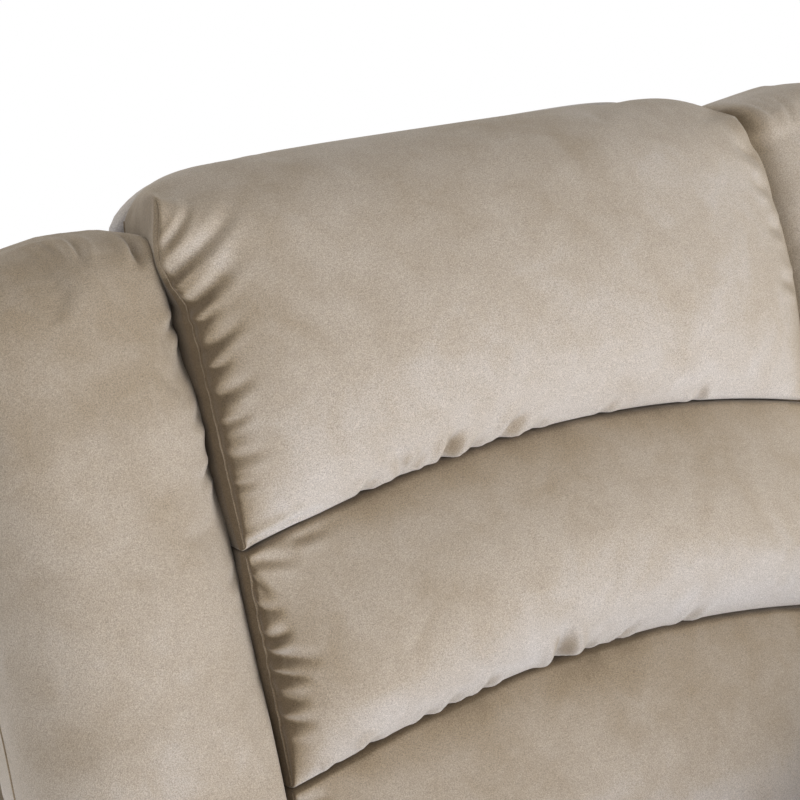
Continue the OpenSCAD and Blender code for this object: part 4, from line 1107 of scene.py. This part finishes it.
def pocket(name, node, side):
    bm = gridded_cube(6, 30, 20)
    doomed = [face for face in bm.faces if face.normal.z > 0.9 or face.normal.x * side < -0.9]
    bmesh.ops.delete(bm, geom=doomed, context="FACES")
    piece = velvet_piece(bm, name)
    cube = coords_of(piece)
    x0, x1 = mirrored(side, POCKET[0][0], POCKET[1][0] - 0.002)
    coords = soft_box(cube, (x0, POCKET[0][1], POCKET[0][2]), (x1, POCKET[1][1], POCKET[1][2]),
                      (0.016, 0.016, 0.018) if side < 0 else (0, 0.016, 0.018),
                      (0, 0.016, 0) if side < 0 else (0.016, 0.016, 0))
    outward = np.clip(side * cube[:, 0], 0, 1)
    slack = (1 - np.abs(cube[:, 1]) ** 3) * (0.4 + 0.6 * (1 - ((cube[:, 2] + 0.2) / 1.2) ** 2))
    coords[:, 0] += side * outward * POCKET_BELLY * slack
    hem = np.exp(-((coords[:, 2] - POCKET[1][2] + HEM_DROP) / HEM_WIDTH) ** 2)
    coords[:, 0] -= side * outward * HEM_DEPTH * hem
    mouth = step(0.9, 1.0, cube[:, 2]) * (1 - cube[:, 1] ** 2)
    coords[:, 2] -= MOUTH_SAG * mouth
    move_to(piece, coords)
    if np.mean(normals_of(piece)[outward > 0.99, 0]) * side < 0:
        piece.data.flip_normals()
    thick = piece.modifiers.new("Thick", "SOLIDIFY")
    thick.thickness = POCKET_CLOTH
    thick.offset = -1
    apply_modifiers(piece)
    refine(piece)
    paint_shade(piece)
    finish_piece(piece, "carriage", node)


for side, word in SIDES:
    pocket(f"side_pocket_cover_{word}", f"side_pocket_{word}", side)

# %% [markdown]
# Under the velvet the chair is timber, webbing and powder-coated steel. Each hard finish is a
# small recipe on the same pattern: a base colour that noise moves a little, a roughness that
# another noise moves, and a shallow bump.

# %% Hard finishes
TONE_STOPS = (0.3, 0.7)
MARK_FINENESS = 5


def hard_finish(name, colours, roughness, metal=0.0, *, scale, bump=0.0002,
                stretch=(1, 1, 1), distortion=0.0):
    finish, tree, shader, place = start_finish(name)
    spot = add_node(tree, "Mapping", {"Vector": place, "Scale": stretch}).outputs[0]
    tone = noise_node(tree, spot, scale, 4, 0.6, distortion)
    marks = noise_node(tree, spot, scale * MARK_FINENESS, 2, 0.7)
    rough = add_node(tree, "MapRange", {"Value": marks, "To Min": roughness[0],
                                        "To Max": roughness[1]})
    feed(tree, shader, {"Base Color": ramp_node(tree, tone, list(zip(TONE_STOPS, colours))),
                        "Roughness": rough.outputs[0], "Metallic": metal})
    add_bump(tree, shader, marks, bump)
    return finish


FINISHES = {
    "velvet": taupe_velvet,
    "webbing": hard_finish(
        "jute_webbing", ((0.055, 0.045, 0.036), (0.10, 0.084, 0.066)), (0.75, 0.95),
        scale=420, bump=0.0008, stretch=(1, 0.35, 1)),
    "timber": hard_finish(
        "planed_pine", ((0.42, 0.27, 0.13), (0.62, 0.44, 0.25)), (0.5, 0.7),
        scale=26, stretch=(1, 0.12, 1), distortion=1.2),
    "black_steel": hard_finish(
        "powder_coat", ((0.018, 0.018, 0.019), (0.028, 0.028, 0.030)), (0.38, 0.52),
        scale=240, bump=0.0003),
    "link_steel": hard_finish(
        "pressed_steel", ((0.035, 0.035, 0.037), (0.055, 0.055, 0.058)), (0.34, 0.5), 0.4,
        scale=150),
    "zinc": hard_finish(
        "zinc_plate", ((0.52, 0.53, 0.55), (0.68, 0.68, 0.69)), (0.26, 0.42), 1.0, scale=180),
    "tube_alloy": hard_finish(
        "drawn_tube", ((0.42, 0.43, 0.44), (0.52, 0.53, 0.54)), (0.3, 0.42), 1.0,
        scale=120, stretch=(1, 1, 6)),
    "rod_steel": hard_finish(
        "ground_rod", ((0.62, 0.62, 0.63), (0.7, 0.7, 0.71)), (0.12, 0.22), 1.0, scale=200),
    "black_plastic": hard_finish(
        "moulded_case", ((0.020, 0.020, 0.021), (0.027, 0.027, 0.028)), (0.46, 0.6),
        scale=700, bump=0.0004),
    "handset_plastic": hard_finish(
        "handset_shell", ((0.022, 0.022, 0.024), (0.030, 0.030, 0.032)), (0.34, 0.46), scale=900),
    "button_plastic": hard_finish(
        "button_caps", ((0.60, 0.58, 0.54), (0.66, 0.64, 0.60)), (0.36, 0.46),
        scale=500, bump=0.0001),
    "glide_rubber": hard_finish(
        "glide_rubber", ((0.014, 0.014, 0.014), (0.022, 0.022, 0.022)), (0.7, 0.85),
        scale=300, bump=0.0003),
}
SLOTS = {part["node"]: part["material_slot"] for part in frame["record"]["subparts"]}
for name, node in frame["nodes"].items():
    for slot in node.material_slots:
        slot.material = FINISHES[SLOTS[name]]
print("finishes", len(FINISHES), "on", len(SLOTS), "nodes")

# %% [markdown]
# Bent, pressed and moulded parts have no knife edges. A CAD solid comes as loose triangles, so its
# mesh is left alone, and a copy is made: doubles merged, flat faces joined again, and every sharp
# edge bevelled by a small radius. That copy then stands for the solid.

# %% Softened copies of hard parts
MERGE_WITHIN = 2e-5
FLAT_ANGLE, SHARP_ANGLE, SMOOTH_ANGLE = (math.radians(angle) for angle in (1, 35, 32))
BEVEL_PARTS = 2
BODY_OF = {node: body for body, nodes in frame["record"]["behaviour"]["bodies"].items()
           for node in nodes}


def softened(node_name, radius):
    bm = bmesh.new()
    bm.from_mesh(frame["nodes"][node_name].data)
    bmesh.ops.remove_doubles(bm, verts=bm.verts, dist=MERGE_WITHIN)
    bmesh.ops.dissolve_limit(bm, angle_limit=FLAT_ANGLE, verts=bm.verts, edges=bm.edges)
    sharp = [edge for edge in bm.edges
             if edge.is_manifold and edge.calc_face_angle(0) > SHARP_ANGLE]
    bmesh.ops.bevel(bm, geom=sharp, offset=radius, offset_type="OFFSET", affect="EDGES",
                    segments=BEVEL_PARTS, profile=0.5, material=-1, clamp_overlap=True)
    piece = piece_from(bm, node_name + "_finished", FINISHES[SLOTS[node_name]])
    piece.data.set_sharp_from_angle(angle=SMOOTH_ANGLE)
    finish_piece(piece, BODY_OF[node_name], node_name)


SOFTENED = ((0.0030, "floor_glides base_side_rails base_cross_tubes"),
            (0.0025, "carriage_cross_tubes"), (0.0040, "power_supply"),
            (0.0030, "control_box lift_gear_housing recline_gear_housing"),
            (0.0020, "lift_motor recline_motor"), (0.0035, "handset_front handset_back"),
            (0.0012, "button_raise button_lower button_recline button_upright"),
            (0.0008, "arm_mount_spacers"), (0.0004, "base_pivot_studs carriage_pivot_studs"))
for radius, names in SOFTENED:
    for name in names.split():
        softened(name, radius)
